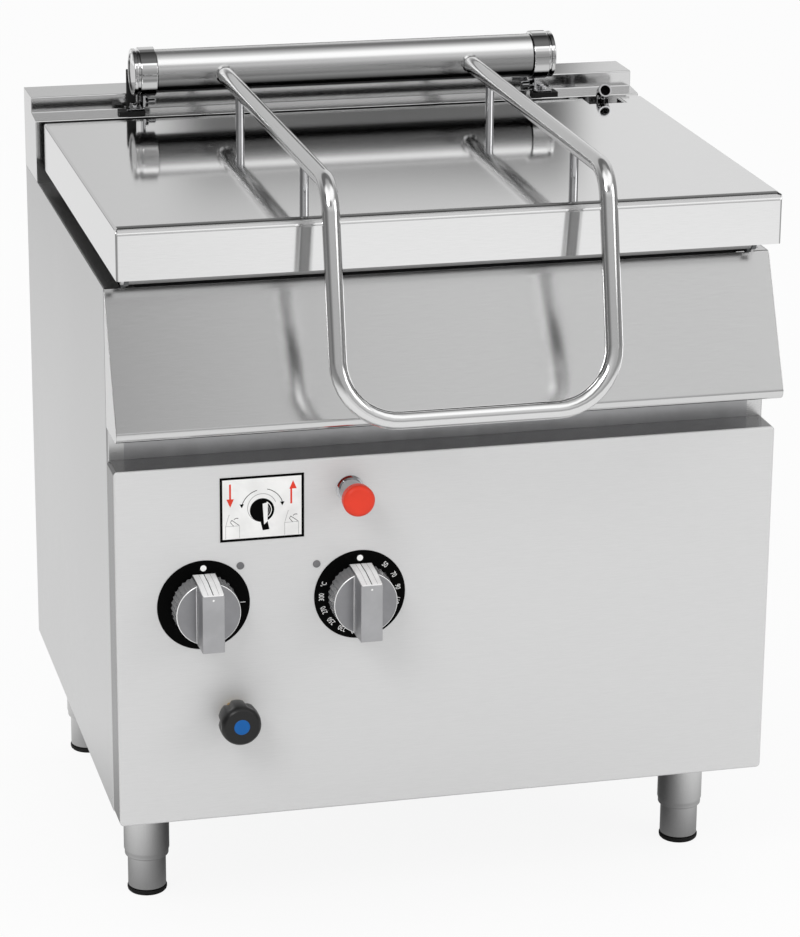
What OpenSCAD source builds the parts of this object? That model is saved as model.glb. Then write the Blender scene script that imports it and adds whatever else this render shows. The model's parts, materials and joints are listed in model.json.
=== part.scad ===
/* [Cabinet] */
// Width of the cabinet
body_w = 800; // [700:5:1000]
// Depth of the side panels, rear face to front plane
body_d = 621; // [600:1:680]
// Height of the cabinet's underside above the floor
leg_h = 150; // [120:1:200]
// Height of the side panels
side_h = 648; // [620:1:720]
// Thickness of the outer sheets
sheet_t = 1.5; // [1:0.1:2.5]
// How far the back panel lies inside the rear edge
back_recess = 30; // [15:1:40]
// Width of the folded sheet edges
flange_w = 20; // [12:1:30]
/* [Hood] */
// Height of the slanted front hood
hood_h = 165; // [140:1:190]
// How far the hood's lower edge stands out
hood_out = 79; // [60:1:90]
/* [Control panel] */
// Height of the control panel
panel_h = 442.5; // [400:0.5:460]
// Depth of the control panel tray
panel_d = 45.2; // [35:0.1:55]
// Radius of the control panel's corners
panel_r = 5; // [2:0.5:10]
// Diameter of the two dial rings
dial_d = 110; // [90:1:120]
// Diameter of the control knobs
knob_d = 78; // [60:1:80]
// Depth of the knob body
knob_h = 30; // [20:1:36]
// Radius of the knob shafts
shaft_r = 4; // [3:0.5:6]
/* [Upstand] */
// Height of the rear upstand above the side panels
stand_h = 102; // [90:1:130]
// Depth of the upstand's top
stand_d = 65; // [50:1:75]
// Drop from the upstand's top to its ledge
stand_step = 20; // [12:1:30]
// Depth of the ledge in front of the upstand
ledge_d = 36; // [30:1:45]
/* [Lid] */
// How far the lid stays inside the cabinet's sides
lid_inset = 6; // [2:1:15]
// Distance from the rear face to the lid's rear edge
lid_back = 132; // [128:1:140]
// How far the lid reaches past the cabinet's front plane
lid_over = 55; // [45:1:65]
// Height of the lid's skirt
lid_h = 60; // [50:1:66]
// Gap between the side panels and the lid's skirt
lid_gap = 23; // [20:1:28]
// Diameter of the hinge tube
tube_d = 55; // [48:1:58]
// Length of the hinge tube
tube_len = 494; // [460:1:540]
// Diameter of the handle tube
bar_d = 21; // [18:0.5:25]
// Distance between the handle's two arms
arm_span = 323; // [280:1:360]
/* [Pan] */
// Gap between the pan's rim and the cabinet's outer side
pan_side = 27; // [25:1:50]
// Gap between the lid's rear edge and the pan's rim
pan_rear = 108; // [98:1:140]
// Depth of the basin below its rim
pan_h = 185; // [150:1:200]
// Thickness of the pan's walls
pan_t = 3; // [2:0.5:5]
/* [Feet] */
// Diameter of the fixed leg sleeve
sleeve_d = 56; // [50:1:64]
// Diameter of the adjustable foot
foot_d = 47; // [40:1:48]
/* [Hidden] */
$fn = 64;
// Overrun of a cut past the face that it opens
over = 1;
// Gap between a fixed piece and a moving one that passes it
pass = 0.3;
// Radial clearance of a turning fit
run = 0.05;
// Largest turn between two rings of a bent tube
bend_step = 12;
// Radius of the sheets' folds
fold_r = 3;
// Gap between the control panel and the cabinet
seam = 0.8;
side_top = leg_h + side_h;
stand_top = side_top + stand_h;
ledge_z = stand_top - stand_step;
half_w = body_w / 2;

// Handle: how far its bend and its grip stand in front of the cabinet plane
bend_reach = 109;
grip_reach = 167;
grip_drop = 262;
bend_r = 38;
grip_r = 70;
// Front-to-back extent with the handle, halved: the origin is in the middle
back_y = (body_d + grip_reach + bar_d / 2) / 2;

// Lid
lid_front = body_d + lid_over;
lid_w = body_w - 2 * lid_inset;
lid_low = side_top + lid_gap;
lid_top = lid_low + lid_h;
lid_bend = 8;
lid_hem = 12;
rear_skirt = 20;
notch_side = 62;
notch_x = half_w - notch_side;
notch_w = 46;
notch_l = 34;

// Hinge line
tube_r = tube_d / 2;
tube_t = 2;
tube_ahead = 40;
tube_b = stand_d + tube_ahead;
tube_lift = 8.5;
tube_z = stand_top + tube_r + tube_lift;
bush_len = 12;
collar_w = 21;
collar_proud = 3.5;
collar_r = tube_r + collar_proud;
collar_soft = 1.2;
groove_w = 3;
cap_w = 5;
rod_r = 10;
spring_wire = 2.5;
spring_start = 20;
hub_gap = 0.6;
bracket_in = 11;
bracket_x = tube_len / 2 + bracket_in;
pad_w = 33;
pad_l = 22;
pad_h = 3;
pad_top = ledge_z + pad_h;
ear_w = 24;
ear_t = 3;
bolt_in = 13.4;
foot_bolt_r = 2.5;
stud_up = 10;
switch_w = 12;
switch_l = 6;
switch_h = 49;
switch_gap = 1;
bolt_r = 4;
bolt_head = 5;

// Handle line
bar_r = bar_d / 2;
arm_drop = 2;
arm_z = tube_z - arm_drop;
bend_b = body_d + bend_reach;
grip_b = body_d + grip_reach;
grip_z = arm_z - grip_drop;
post_r = 5.5;
post_ahead = 123;
post_back = tube_b + post_ahead;
post_inset = 76;
post_front = lid_front - post_inset;

// Pan
pan_w = body_w - 2 * pan_side;
pivot_ahead = 7;
pivot_b = body_d + pivot_ahead;
pivot_up = 14;
pivot_z = side_top + pivot_up;
rim_r = 8;
rim_up = 3;
rim_z = pivot_z + rim_up;
pan_back = lid_back + pan_rear;
pan_l = pivot_b - pan_back;
rim_side = 23;
basin_w = pan_w - 2 * rim_side;
basin_floor = rim_z - pan_h;
floor_t = 10;
wall_slope = 28;
front_slope = 52;
rim_w = 14;
lip_w = 26;
basin_r = 28;
tray_gap = 32;
tray_low = basin_floor - floor_t - tray_gap;
heater_r = 4;
rail_w = 60;
rail_l = 200;
pin_r = 6;
pin_head_r = 8;
pin_head_t = 3;
head_r = 9.5;
pin_x = pan_w / 2;
bracket_t = 5;
bracket_h = 90;
bracket_l = 60;

// Front rail and hood
hood_low = side_top - hood_h;
hood_nose = 6;
rail_h = 75;
rail_drop = 52;
hood_lip = 4;
hood_lip_w = pan_w - 4 * bracket_t;
ledge_drop = 3;
panel_back = body_d + seam;
panel_face = panel_back + panel_d;
panel_mid = leg_h + panel_h / 2;

// Places on the control panel, as x and z from its lower left corner
switch_place = [103, 273];
thermo_place = [290, 271];
lamp_switch_place = [147, 318];
lamp_thermo_place = [238, 313];
plate_place = [173, 388];
button_place = [278, 403];
tap_place = [138, 135];
panel_low = [-half_w, leg_h];
switch_at = panel_low + switch_place;
thermo_at = panel_low + thermo_place;
lamp_switch = panel_low + lamp_switch_place;
lamp_thermo = panel_low + lamp_thermo_place;
plate_at = panel_low + plate_place;
button_at = panel_low + button_place;
tap_at = panel_low + tap_place;
lamp_r = 4.5;
lamp_out = 1.5;
dial_t = 1;
plate_w = 100;
plate_h = 79;
plate_t = 1;
knob_gap = 1.5;
grip_w = 28;
grip_tip = 26;
grip_out = 30;
barrel_r = 14;
barrel_out = 28;
button_r = 19;
button_out = 17;
press_travel = 5;
stem_r = 12.5;
nose_r = 6;
shaft_len = 16;
switch_half = 24;
switch_deep = 55;
thermo_half = 21;
thermo_deep = 48;
flute_r = 1.6;
knob_soft = 2;
tap_body_r = 16;
tap_body_l = 60;
tap_grip = 24;
tap_stem_r = 5;
tap_r = 22.5;
tap_depth = 39;
tap_gap = 10;
scallop_r = 9;
disc_r = 9.5;
disc_t = 2;

// Legs
leg_inset = 55;
leg_x = half_w - leg_inset;
leg_set = 96;
leg_front = body_d - leg_set;
leg_back = 68;
sleeve_soft = 5;
sleeve_low = 48;
pad_t = 6;
foot_r = foot_d / 2;
foot_room = 10;

// Water and power
pipe_r = 8.5;
pipe_bore = 6.25;
line_r = 5.95;
line_bend = 14.9;
line_side = 10;
line_in = 30;
line_start = 9.6;
inlet_r = 10.5;
inlet_neck = inlet_r * 0.95;
inlet_side = 70;
inlet_x = half_w - inlet_side;
inlet_up = 90;
inlet_z = leg_h + inlet_up;
gland_x = -inlet_x;
gland_z = inlet_z;
gland_r = 16;
gland_bore = 9;
boss_len = 22;
nut_t = 6;
spout_in = 9;
spout_b = lid_back + spout_in;
spout_rise = 14;
spout_turn = 9;
spout_reach = 13;

// Lift drive and power parts
lift_r = 12;
lift_ahead = 290;
lift_b = pivot_b - lift_ahead;
lift_top = tray_low - 2 * sheet_t - pass;
lift_out = 40;
lift_head = 14;
lift_foot = 20;
drive_w = 110;
drive_l = 80;
drive_h = 60;
motor_r = 32;
motor_l = 120;
guide_t = 6;
plate_x = 60;
plate_inset = 61;
plate_b = body_d - plate_inset;
comp_w = 240;
comp_h = 230;
relay_w = 50;
relay_l = 60;
relay_h = 70;
relay_gap = 15;
relay_cap = 8;
relay_edge = 6;
way_w = 14;
way_l = 32;
way_h = 36;
way_r = 4;

// Maps a distance from the rear face to the y of the part
function at_b(b) = -b;

// Draws a profile of [distance from rear, height] points along x
module along_x(len) {
    rotate([90, 0, 90])
        linear_extrude(height = len, center = true)
            children();
}

// Turns the y axis of a profile about a line along x
module disc_x(r, len, x = 0, b = 0, z = 0) {
    translate([x, at_b(b), z])
        rotate([0, 90, 0])
            cylinder(r = r, h = len, center = true);
}

// Points the drawing towards the front, from a place on a plane at distance b
module facing(place, b) {
    translate([place[0], at_b(b), place[1]])
        rotate([90, 0, 0])
            children();
}

// A rectangle with round corners, centred
module round_rect(w, h, r) {
    square([w - 2 * r, h], center = true);
    square([w, h - 2 * r], center = true);
    for (sx = [-1, 1], sy = [-1, 1])
        translate([sx * (w / 2 - r), sy * (h / 2 - r)])
            circle(r = r);
}

// A closed outline with every corner at its own radius: [x, y, r] each
function unit(v) = v / norm(v);
function arc_at(p, a, b, r) =
    let (ua = unit(a - p), ub = unit(b - p))
    let (half = acos(ua * ub) / 2)
    let (reach = r / tan(half), mid = p + unit(ua + ub) * (r / sin(half)))
    let (sa = p + ua * reach - mid, sb = p + ub * reach - mid)
    let (t0 = atan2(sa[1], sa[0]), turn = atan2(sb[1], sb[0]) - t0)
    let (sweep = turn > 180 ? turn - 360 : turn < -180 ? turn + 360 : turn)
    let (steps = 8)
    [for (i = [0 : steps]) mid + r * [cos(t0 + sweep * i / steps), sin(t0 + sweep * i / steps)]];
function rounded(c) =
    let (n = len(c))
    [for (i = [0 : n - 1])
        let (p = [c[i][0], c[i][1]])
        let (a = [c[(i + n - 1) % n][0], c[(i + n - 1) % n][1]])
        let (b = [c[(i + 1) % n][0], c[(i + 1) % n][1]])
        each (c[i][2] == 0 ? [p] : arc_at(p, a, b, c[i][2]))];

// A hexagonal head or nut with a washer under it, along z, for a shank of radius r
module hex_head(r, h) {
    washer_h = h / 4;
    hex_share = 1.7;
    cylinder(r = r * 2, h = washer_h);
    translate([0, 0, washer_h])
        cylinder(r = r * hex_share, h = h - washer_h, $fn = 6);
}

module side_panel(side) {
    w = flange_w;
    mirror([side < 0 ? 1 : 0, 0, 0])
        translate([half_w, 0, 0])
            union() {
                    translate([0, 0, leg_h])
                        linear_extrude(height = side_h)
                            polygon(rounded([
                                [-w, at_b(body_d), 0], [0, at_b(body_d), fold_r],
                                [0, 0, fold_r], [-w, 0, 0],
                                [-w, at_b(sheet_t), 0], [-sheet_t, at_b(sheet_t), 0],
                                [-sheet_t, at_b(body_d - sheet_t), 0],
                                [-w, at_b(body_d - sheet_t), 0]
                            ]));
                    translate([-w, at_b(body_d - sheet_t), side_top - sheet_t])
                        cube([w - sheet_t / 2, body_d - stand_d - ledge_d - sheet_t, sheet_t]);
            }
}

module left_side_panel() {
    color([0.80, 0.80, 0.81]) side_panel(-1);
}

module right_side_panel() {
    color([0.80, 0.80, 0.81]) side_panel(1);
}

// Rear closing panel with two rows of air slots and two outlet holes
module back_panel() {
    slot_w = 6;
    slot_h = 60;
    slot_step = 24;
    slots = 8;
    inner_w = body_w - 2 * sheet_t;
    color([0.72, 0.72, 0.73])
        difference() {
            translate([-inner_w / 2, at_b(back_recess + sheet_t), leg_h + sheet_t])
                cube([inner_w, sheet_t, side_h - sheet_t]);
            for (row = [0, 1], i = [0 : slots - 1])
                translate([(i - (slots - 1) / 2) * slot_step - slot_w / 2,
                           at_b(back_recess + sheet_t + over),
                           leg_h + side_h / 2 + row * 1.5 * slot_h])
                    cube([slot_w, sheet_t + 2 * over, slot_h]);
            facing([inlet_x, inlet_z], back_recess - over)
                cylinder(r = inlet_neck, h = sheet_t + 2 * over);
            facing([gland_x, gland_z], back_recess - over)
                cylinder(r = gland_bore, h = sheet_t + 2 * over);
        }
}

// Floor of the cabinet with a turned-up front edge
module bottom_panel() {
    inner_w = body_w - 2 * sheet_t;
    deep = body_d - 2 * sheet_t;
    lip = 2 * flange_w;
    color([0.70, 0.70, 0.71]) {
        translate([-inner_w / 2, at_b(body_d - sheet_t), leg_h])
            cube([inner_w, deep, sheet_t]);
        translate([-half_w + flange_w, at_b(body_d), leg_h])
            cube([body_w - 2 * flange_w, sheet_t + over, lip]);
    }
}

// Rail across the front between the hood and the control panel
module front_rail() {
    rail_low = hood_low - rail_drop;
    color([0.62, 0.62, 0.63])
        translate([-half_w + flange_w, at_b(body_d), rail_low]) {
            cube([body_w - 2 * flange_w, sheet_t, rail_h]);
            cube([body_w - 2 * flange_w, flange_w, sheet_t]);
        }
}

// Control panel: a shallow tray, open at the back, with its control holes
module control_panel() {
    color([0.82, 0.82, 0.83])
        difference() {
            facing([0, panel_mid], panel_back)
                difference() {
                    linear_extrude(height = panel_d)
                        round_rect(body_w, panel_h, panel_r);
                    translate([0, 0, -over])
                        linear_extrude(height = panel_d - sheet_t + over)
                            round_rect(body_w - 2 * sheet_t, panel_h - 2 * sheet_t,
                                       panel_r - sheet_t);
                }
            control_hole(switch_at, shaft_r + 1);
            control_hole(thermo_at, shaft_r + 1);
            control_hole(lamp_switch, lamp_r);
            control_hole(lamp_thermo, lamp_r);
            control_hole(button_at, stem_r + run);
            control_hole(tap_at, tap_stem_r * 2);
        }
}

module control_hole(place, r) {
    facing(place, panel_face - sheet_t - over)
        cylinder(r = r, h = sheet_t + 2 * over);
}

// Slanted front hood: a folded sheet with closed cheeks
module front_hood() {
    nose = hood_nose;
    under = [at_b(body_d), hood_low];
    tip = [at_b(body_d + hood_out), hood_low];
    shoulder = [at_b(body_d), side_top];
    lip_low = side_top - sheet_t;
    color([0.80, 0.80, 0.81]) {
        difference() {
            along_x(body_w)
                polygon(rounded([[under[0], under[1], 0], [tip[0], tip[1], nose],
                                 [shoulder[0], shoulder[1], 0]]));
            along_x(body_w - 2 * sheet_t)
                polygon(rounded([
                    [under[0] + over, under[1] + sheet_t, 0],
                    [tip[0] + 2 * sheet_t, tip[1] + sheet_t, nose - sheet_t],
                    [shoulder[0] - sheet_t / 4, shoulder[1] - 3 * sheet_t, 0],
                    [shoulder[0] + over, shoulder[1] - 3 * sheet_t, 0]
                ]));
        }
        along_x(hood_lip_w)
            polygon([
                [at_b(body_d - hood_lip), side_top], [at_b(body_d - hood_lip), lip_low],
                [at_b(body_d + sheet_t / 4), lip_low], shoulder
            ]);
    }
}

// Rear upstand: a folded cover with a ledge in front and closed ends
module rear_upstand() {
    drop = ledge_drop;
    t = sheet_t;
    front = stand_d + ledge_d;
    color([0.80, 0.80, 0.81])
        difference() {
            along_x(body_w)
                polygon(rounded([
                    [0, side_top, 0], [0, stand_top, fold_r],
                    [at_b(stand_d), stand_top, fold_r], [at_b(stand_d), ledge_z, 0],
                    [at_b(front), ledge_z - drop, fold_r], [at_b(front), side_top, 0]
                ]));
            along_x(body_w - 2 * t)
                polygon(rounded([
                    [at_b(t), side_top - over, 0], [at_b(t), stand_top - t, fold_r - t],
                    [at_b(stand_d - t), stand_top - t, fold_r - t],
                    [at_b(stand_d - t), ledge_z - t, 0],
                    [at_b(front - t), ledge_z - drop - t, fold_r - t],
                    [at_b(front - t), side_top - over, 0]
                ]));
        }
}

// Two cheek plates that carry the pan's pins, each on a block on its side panel
module pivot_brackets() {
    low = pivot_z - bracket_h;
    rear = at_b(pivot_b - bracket_l);
    front = at_b(body_d - 2 * sheet_t);
    gap_w = half_w - sheet_t - pin_x - pass - bracket_t;
    color([0.45, 0.46, 0.48])
        for (side = [-1, 1])
            difference() {
                union() {
                    translate([side * (pin_x + pass + bracket_t / 2), 0, 0])
                        along_x(bracket_t)
                            polygon([
                                [rear, low], [front, low], [front, pivot_z - head_r],
                                [at_b(pivot_b), pivot_z - head_r],
                                [at_b(pivot_b), pivot_z + head_r],
                                [rear, side_top - 2 * flange_w]
                            ]);
                    disc_x(r = head_r, len = bracket_t, x = side * (pin_x + pass + bracket_t / 2),
                           b = pivot_b, z = pivot_z);
                    translate([side * (half_w - sheet_t - gap_w / 2), 0, 0])
                        along_x(gap_w)
                            polygon([[rear, low], [front, low], [front, low + flange_w],
                                     [rear, low + flange_w]]);
                }
                disc_x(r = pin_r + run, len = body_w, b = pivot_b, z = pivot_z);
            }
}

// Places the child at each leg: [side, distance from the rear face]
LEGS = [[-1, leg_front], [1, leg_front], [-1, leg_back], [1, leg_back]];

module leg_sleeves() {
    step = sleeve_soft;
    color([0.62, 0.62, 0.63])
        for (leg = LEGS)
            translate([leg[0] * leg_x, at_b(leg[1]), 0])
                rotate_extrude()
                    polygon(rounded([
                        [foot_r + run, sleeve_low, 0],
                        [sleeve_d / 2 - step / 4, sleeve_low, step / 2],
                        [sleeve_d / 2, sleeve_low + step * 2, 0],
                        [sleeve_d / 2, leg_h, 0], [foot_r + run, leg_h, 0]
                    ]));
}

// One adjustable foot, which slides in its sleeve
module foot(leg) {
    color([0.60, 0.60, 0.61])
        translate([leg[0] * leg_x, at_b(leg[1]), pad_t])
            cylinder(r = foot_r, h = leg_h - pad_t - foot_room);
}

module foot_pad(leg) {
    color([0.06, 0.06, 0.06])
        translate([leg[0] * leg_x, at_b(leg[1]), 0])
            rotate_extrude()
                polygon(rounded([[0, 0, 0], [foot_r, 0, pad_t / 4],
                                 [foot_r + pad_t / 6, pad_t, 0], [0, pad_t, 0]]));
}

module foot_front_left() { foot(LEGS[0]); }
module foot_front_right() { foot(LEGS[1]); }
module foot_rear_left() { foot(LEGS[2]); }
module foot_rear_right() { foot(LEGS[3]); }
module pad_front_left() { foot_pad(LEGS[0]); }
module pad_front_right() { foot_pad(LEGS[1]); }
module pad_rear_left() { foot_pad(LEGS[2]); }
module pad_rear_right() { foot_pad(LEGS[3]); }

// Height of the ledge's surface at a distance from the rear face
function ledge_at(b) = ledge_z - ledge_drop * (b - stand_d) / ledge_d;

// Rubber pads under the lid's brackets, and the black switch housing behind the left collar
module bracket_pads() {
    near = stand_d + ledge_d - pad_l - fold_r;
    far = near + pad_l;
    box_near = stand_d + switch_gap;
    box_far = box_near + switch_l;
    box_top = pad_top + switch_h;
    color([0.05, 0.05, 0.05]) {
        for (side = [-1, 1])
            translate([side * (bracket_x + pad_w / 2), 0, 0])
                along_x(pad_w)
                    polygon([[at_b(near), ledge_at(near)], [at_b(far), ledge_at(far)],
                             [at_b(far), pad_top], [at_b(near), pad_top]]);
        translate([-(tube_len / 2 + collar_w + groove_w), 0, 0])
            along_x(switch_w)
                polygon(rounded([[at_b(box_near), ledge_at(box_near), 0],
                                 [at_b(box_near), box_top, switch_l / 3],
                                 [at_b(box_far), box_top, switch_l / 3],
                                 [at_b(box_far), ledge_at(box_far), 0]]));
    }
}

// Folded angle brackets that carry the collars of the hinge line
module hinge_brackets() {
    near = stand_d + ledge_d - pad_l - fold_r;
    color([0.78, 0.78, 0.80])
        for (side = [-1, 1])
            difference() {
                translate([side * bracket_x, at_b(near + pad_l), pad_top])
                    mirror([side < 0 ? 1 : 0, 0, 0]) {
                        cube([ear_w, pad_l, ear_t]);
                        cube([ear_t, pad_l, tube_z - pad_top - tube_r]);
                    }
                disc_x(r = collar_r, len = body_w, b = tube_b, z = tube_z);
            }
}

// Two hexagon bolts on each bracket's foot, and one through its upright
module bracket_bolts() {
    near = stand_d + ledge_d - pad_l - fold_r;
    mid = near + pad_l / 2;
    color([0.75, 0.75, 0.77])
        for (side = [-1, 1]) {
            for (step = [-1, 1])
                translate([side * (bracket_x + bolt_in), at_b(mid + step * pad_l / 4),
                           pad_top + ear_t])
                    hex_head(foot_bolt_r, bolt_head);
            translate([side * bracket_x, at_b(mid), pad_top + stud_up])
                rotate([0, -side * 90, 0]) {
                    hex_head(bolt_r, bolt_head);
                    cylinder(r = bolt_r, h = 3 * bolt_head);
                }
        }
}

// Chrome collars that close the hinge line: a wide band, a groove and an end ring
module hinge_collars() {
    start = tube_len / 2 + hub_gap;
    soft = collar_soft;
    color([0.80, 0.80, 0.82])
        for (side = [-1, 1])
            translate([side * start, at_b(tube_b), tube_z])
                rotate([0, side * 90, 0])
                    difference() {
                        rotate_extrude()
                            polygon(rounded([
                                [0, 0, 0], [collar_r, 0, soft], [collar_r, collar_w, soft],
                                [tube_r, collar_w, 0], [tube_r, collar_w + groove_w, 0],
                                [collar_r - soft, collar_w + groove_w, soft],
                                [collar_r - soft, collar_w + groove_w + cap_w, soft],
                                [0, collar_w + groove_w + cap_w, 0]
                            ]));
                        translate([0, 0, -over])
                            cylinder(r = rod_r + run, h = over + collar_w);
                    }
}

module dial_ring(place) {
    color([0.05, 0.05, 0.05])
        facing(place, panel_face)
            difference() {
                cylinder(r = dial_d / 2, h = dial_t);
                translate([0, 0, -over])
                    cylinder(r = shaft_r + dial_t, h = dial_t + 2 * over);
            }
}

module switch_dial() { dial_ring(switch_at); }
module thermostat_dial() { dial_ring(thermo_at); }

module indicator_lamps() {
    color([0.45, 0.45, 0.46])
        for (place = [lamp_switch, lamp_thermo])
            facing(place, panel_face - sheet_t) {
                cylinder(r = lamp_r, h = sheet_t + lamp_out);
                mirror([0, 0, 1])
                    cylinder(r = lamp_r * 5 / 4, h = 4 * lamp_r);
            }
}

module instruction_plate() {
    color([0.95, 0.95, 0.95])
        facing(plate_at, panel_face)
            linear_extrude(height = plate_t)
                square([plate_w, plate_h], center = true);
}

// Sleeve that guides the push button
module button_bezel() {
    color([0.78, 0.78, 0.80])
        facing(button_at, panel_face)
            difference() {
                cylinder(r = barrel_r, h = barrel_out);
                translate([0, 0, -over])
                    cylinder(r = stem_r + run, h = barrel_out + 2 * over);
            }
}

// Push rod of the button, with a slimmer nose that the head turns on
module button_stem() {
    back = barrel_out;
    color([0.08, 0.08, 0.08])
        facing(button_at, panel_face - back) {
            cylinder(r = stem_r, h = back + barrel_out + press_travel);
            cylinder(r = nose_r, h = back + barrel_out + press_travel + button_out / 2);
        }
}

module button_head() {
    soft = button_out / 3;
    depth = button_out / 2 + run;
    color([0.90, 0.25, 0.16])
        facing(button_at, panel_face + barrel_out + press_travel + pass)
            difference() {
                rotate_extrude()
                    polygon(rounded([[0, 0, 0], [button_r - soft / 2, 0, soft / 4],
                                     [button_r, soft, soft / 4], [button_r, button_out, soft],
                                     [0, button_out, 0]]));
                translate([0, 0, -over])
                    cylinder(r = nose_r + run, h = depth + over);
            }
}

// Rotary control behind the panel, with the bore that its knob's shaft turns in
module control_body(place, r, depth) {
    neck_share = 0.8;
    facing(place, panel_face - sheet_t - depth)
        difference() {
            union() {
                translate([-r, -r, 0])
                    cube([2 * r, 2 * r, depth - shaft_r]);
                cylinder(r = r * neck_share, h = depth);
            }
            translate([0, 0, depth - shaft_len])
                cylinder(r = shaft_r + run, h = shaft_len + over);
        }
}

module switch_body() {
    color([0.30, 0.30, 0.32]) control_body(switch_at, switch_half, switch_deep);
}

module thermostat_body() {
    color([0.86, 0.84, 0.78]) control_body(thermo_at, thermo_half, thermo_deep);
}

// Control knob: a fluted round body, a tapered grip across it and a shaft
module knob(place) {
    flutes = 36;
    soft = knob_soft;
    base = dial_t + knob_gap;
    r = knob_d / 2;
    color([0.62, 0.62, 0.63])
        facing(place, panel_face) {
            translate([0, 0, base])
                linear_extrude(height = knob_h)
                    difference() {
                        circle(r = r);
                        for (i = [0 : flutes - 1])
                            rotate(i * 360 / flutes)
                                translate([r + flute_r / 2, 0])
                                    circle(r = flute_r);
                    }
            intersection() {
                rotate([90, 0, 0])
                    linear_extrude(height = knob_d, center = true)
                        polygon([[-grip_w / 2, base + knob_h], [grip_w / 2, base + knob_h],
                                 [grip_tip / 2, base + knob_h + grip_out],
                                 [-grip_tip / 2, base + knob_h + grip_out]]);
                rotate([90, 0, 90])
                    linear_extrude(height = grip_w, center = true)
                        polygon([[-r + soft, base + knob_h], [r - soft, base + knob_h],
                                 [r - 4 * soft, base + knob_h + grip_out],
                                 [-r + 2 * soft, base + knob_h + grip_out]]);
            }
            translate([0, 0, -sheet_t - shaft_len])
                cylinder(r = shaft_r, h = sheet_t + shaft_len + base + soft);
        }
}

module switch_knob() { knob(switch_at); }
module thermostat_knob() { knob(thermo_at); }

// Valve behind the panel, with a threaded neck through it
module tap_body() {
    neck_r = tap_stem_r * 2;
    nut_share = 1.4;
    color([0.70, 0.58, 0.32])
        facing(tap_at, panel_face - sheet_t - tap_body_l)
            difference() {
                union() {
                    cylinder(r = tap_body_r, h = tap_body_l);
                    cylinder(r = neck_r, h = tap_body_l + sheet_t + nut_t);
                    translate([0, 0, tap_body_l + sheet_t])
                        cylinder(r = neck_r * nut_share, h = nut_t, $fn = 6);
                }
                translate([0, 0, tap_body_l - tap_grip])
                    cylinder(r = tap_stem_r + run, h = tap_grip + sheet_t + nut_t + over);
            }
}

// Water tap's knob: a round black knob with scallops, on a shaft
module tap_knob() {
    scallops = 6;
    soft = scallop_r / 4;
    lip = disc_t;
    base_share = 0.8;
    waist_share = 1.12;
    top_share = 0.9;
    color([0.07, 0.07, 0.07])
        facing(tap_at, panel_face) {
            difference() {
                translate([0, 0, tap_gap])
                    rotate_extrude()
                        polygon(rounded([
                            [0, 0, 0], [tap_r * base_share, 0, soft],
                            [tap_r * waist_share, tap_depth / 3, soft],
                            [tap_r * waist_share, tap_depth * 3 / 4, soft],
                            [tap_r * top_share, tap_depth, soft], [0, tap_depth, 0]
                        ]));
                for (i = [0 : scallops - 1])
                    rotate(i * 360 / scallops)
                        translate([tap_r + scallop_r, 0, tap_gap - over])
                            cylinder(r = scallop_r, h = tap_depth * base_share + over);
                translate([0, 0, tap_gap + tap_depth - lip])
                    cylinder(r = disc_r + run, h = lip + over);
            }
            translate([0, 0, -tap_grip + pass])
                cylinder(r = tap_stem_r, h = tap_grip + tap_gap + over);
        }
}

module tap_disc() {
    color([0.10, 0.40, 0.75])
        facing(tap_at, panel_face + tap_gap + tap_depth - disc_t)
            cylinder(r = disc_r, h = disc_t + disc_t / 4);
}

// Centre line of a bend of radius r at the corner p, between the points a and b
function bend_line(a, p, b, r) =
    let (ua = unit(a - p), ub = unit(b - p))
    let (half = acos(ua * ub) / 2, reach = r / tan(half))
    let (mid = p + unit(ua + ub) * (r / sin(half)))
    let (x = unit(p + ua * reach - mid), z = unit(cross(x, p + ub * reach - mid)), y = cross(z, x))
    let (turn = 180 - 2 * half, steps = ceil(turn / bend_step))
    [for (i = [0 : steps]) mid + r * (x * cos(turn * i / steps) + y * sin(turn * i / steps))];

// Centre line through corner points, each inner one bent at its own radius
function bent_line(points, bends) =
    let (n = len(points))
    [points[0],
     for (i = [1 : n - 2]) each bend_line(points[i - 1], points[i], points[i + 1], bends[i - 1]),
     points[n - 1]];

// Direction of a line at its point i
function along(line, i) =
    let (a = line[max(i - 1, 0)], p = line[i], b = line[min(i + 1, len(line) - 1)])
    unit((a == p ? [0, 0, 0] : unit(p - a)) + (b == p ? [0, 0, 0] : unit(b - p)));

// A side direction carried along the line without twisting
function sideways(line, start, i = 0) =
    i == len(line) ? []
    : let (t = along(line, i), n = unit(start - t * (start * t)))
      concat([n], sideways(line, n, i + 1));

// A round bar swept along a line; bore is the radius of the hole through it, or zero
module swept(line, r, bore = 0, sides = 20) {
    n = len(line);
    side = sideways(line, abs(along(line, 0)[0]) < 0.9 ? [1, 0, 0] : [0, 0, 1]);
    rings = [for (radius = bore > 0 ? [r, bore] : [r], i = [0 : n - 1], k = [0 : sides - 1])
        let (a = 360 * k / sides)
        line[i] + radius * (side[i] * cos(a) + cross(along(line, i), side[i]) * sin(a))];
    inner = n * sides;
    quads = [for (i = [0 : n - 2], k = [0 : sides - 1])
        [i * sides + k, i * sides + (k + 1) % sides,
         (i + 1) * sides + (k + 1) % sides, (i + 1) * sides + k]];
    holes = [for (q = quads) [q[3] + inner, q[2] + inner, q[1] + inner, q[0] + inner]];
    ends = bore > 0
        ? [for (i = [0, n - 1], k = [0 : sides - 1])
            let (a = i * sides + k, b = i * sides + (k + 1) % sides)
            i == 0 ? [b, a, a + inner, b + inner] : [a, b, b + inner, a + inner]]
        : [[for (k = [sides - 1 : -1 : 0]) k], [for (k = [0 : sides - 1]) (n - 1) * sides + k]];
    all = concat(quads, bore > 0 ? holes : [], ends);
    polyhedron(points = rings, faces = [for (f = all) [for (k = [len(f) - 1 : -1 : 0]) f[k]]]);
}

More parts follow.
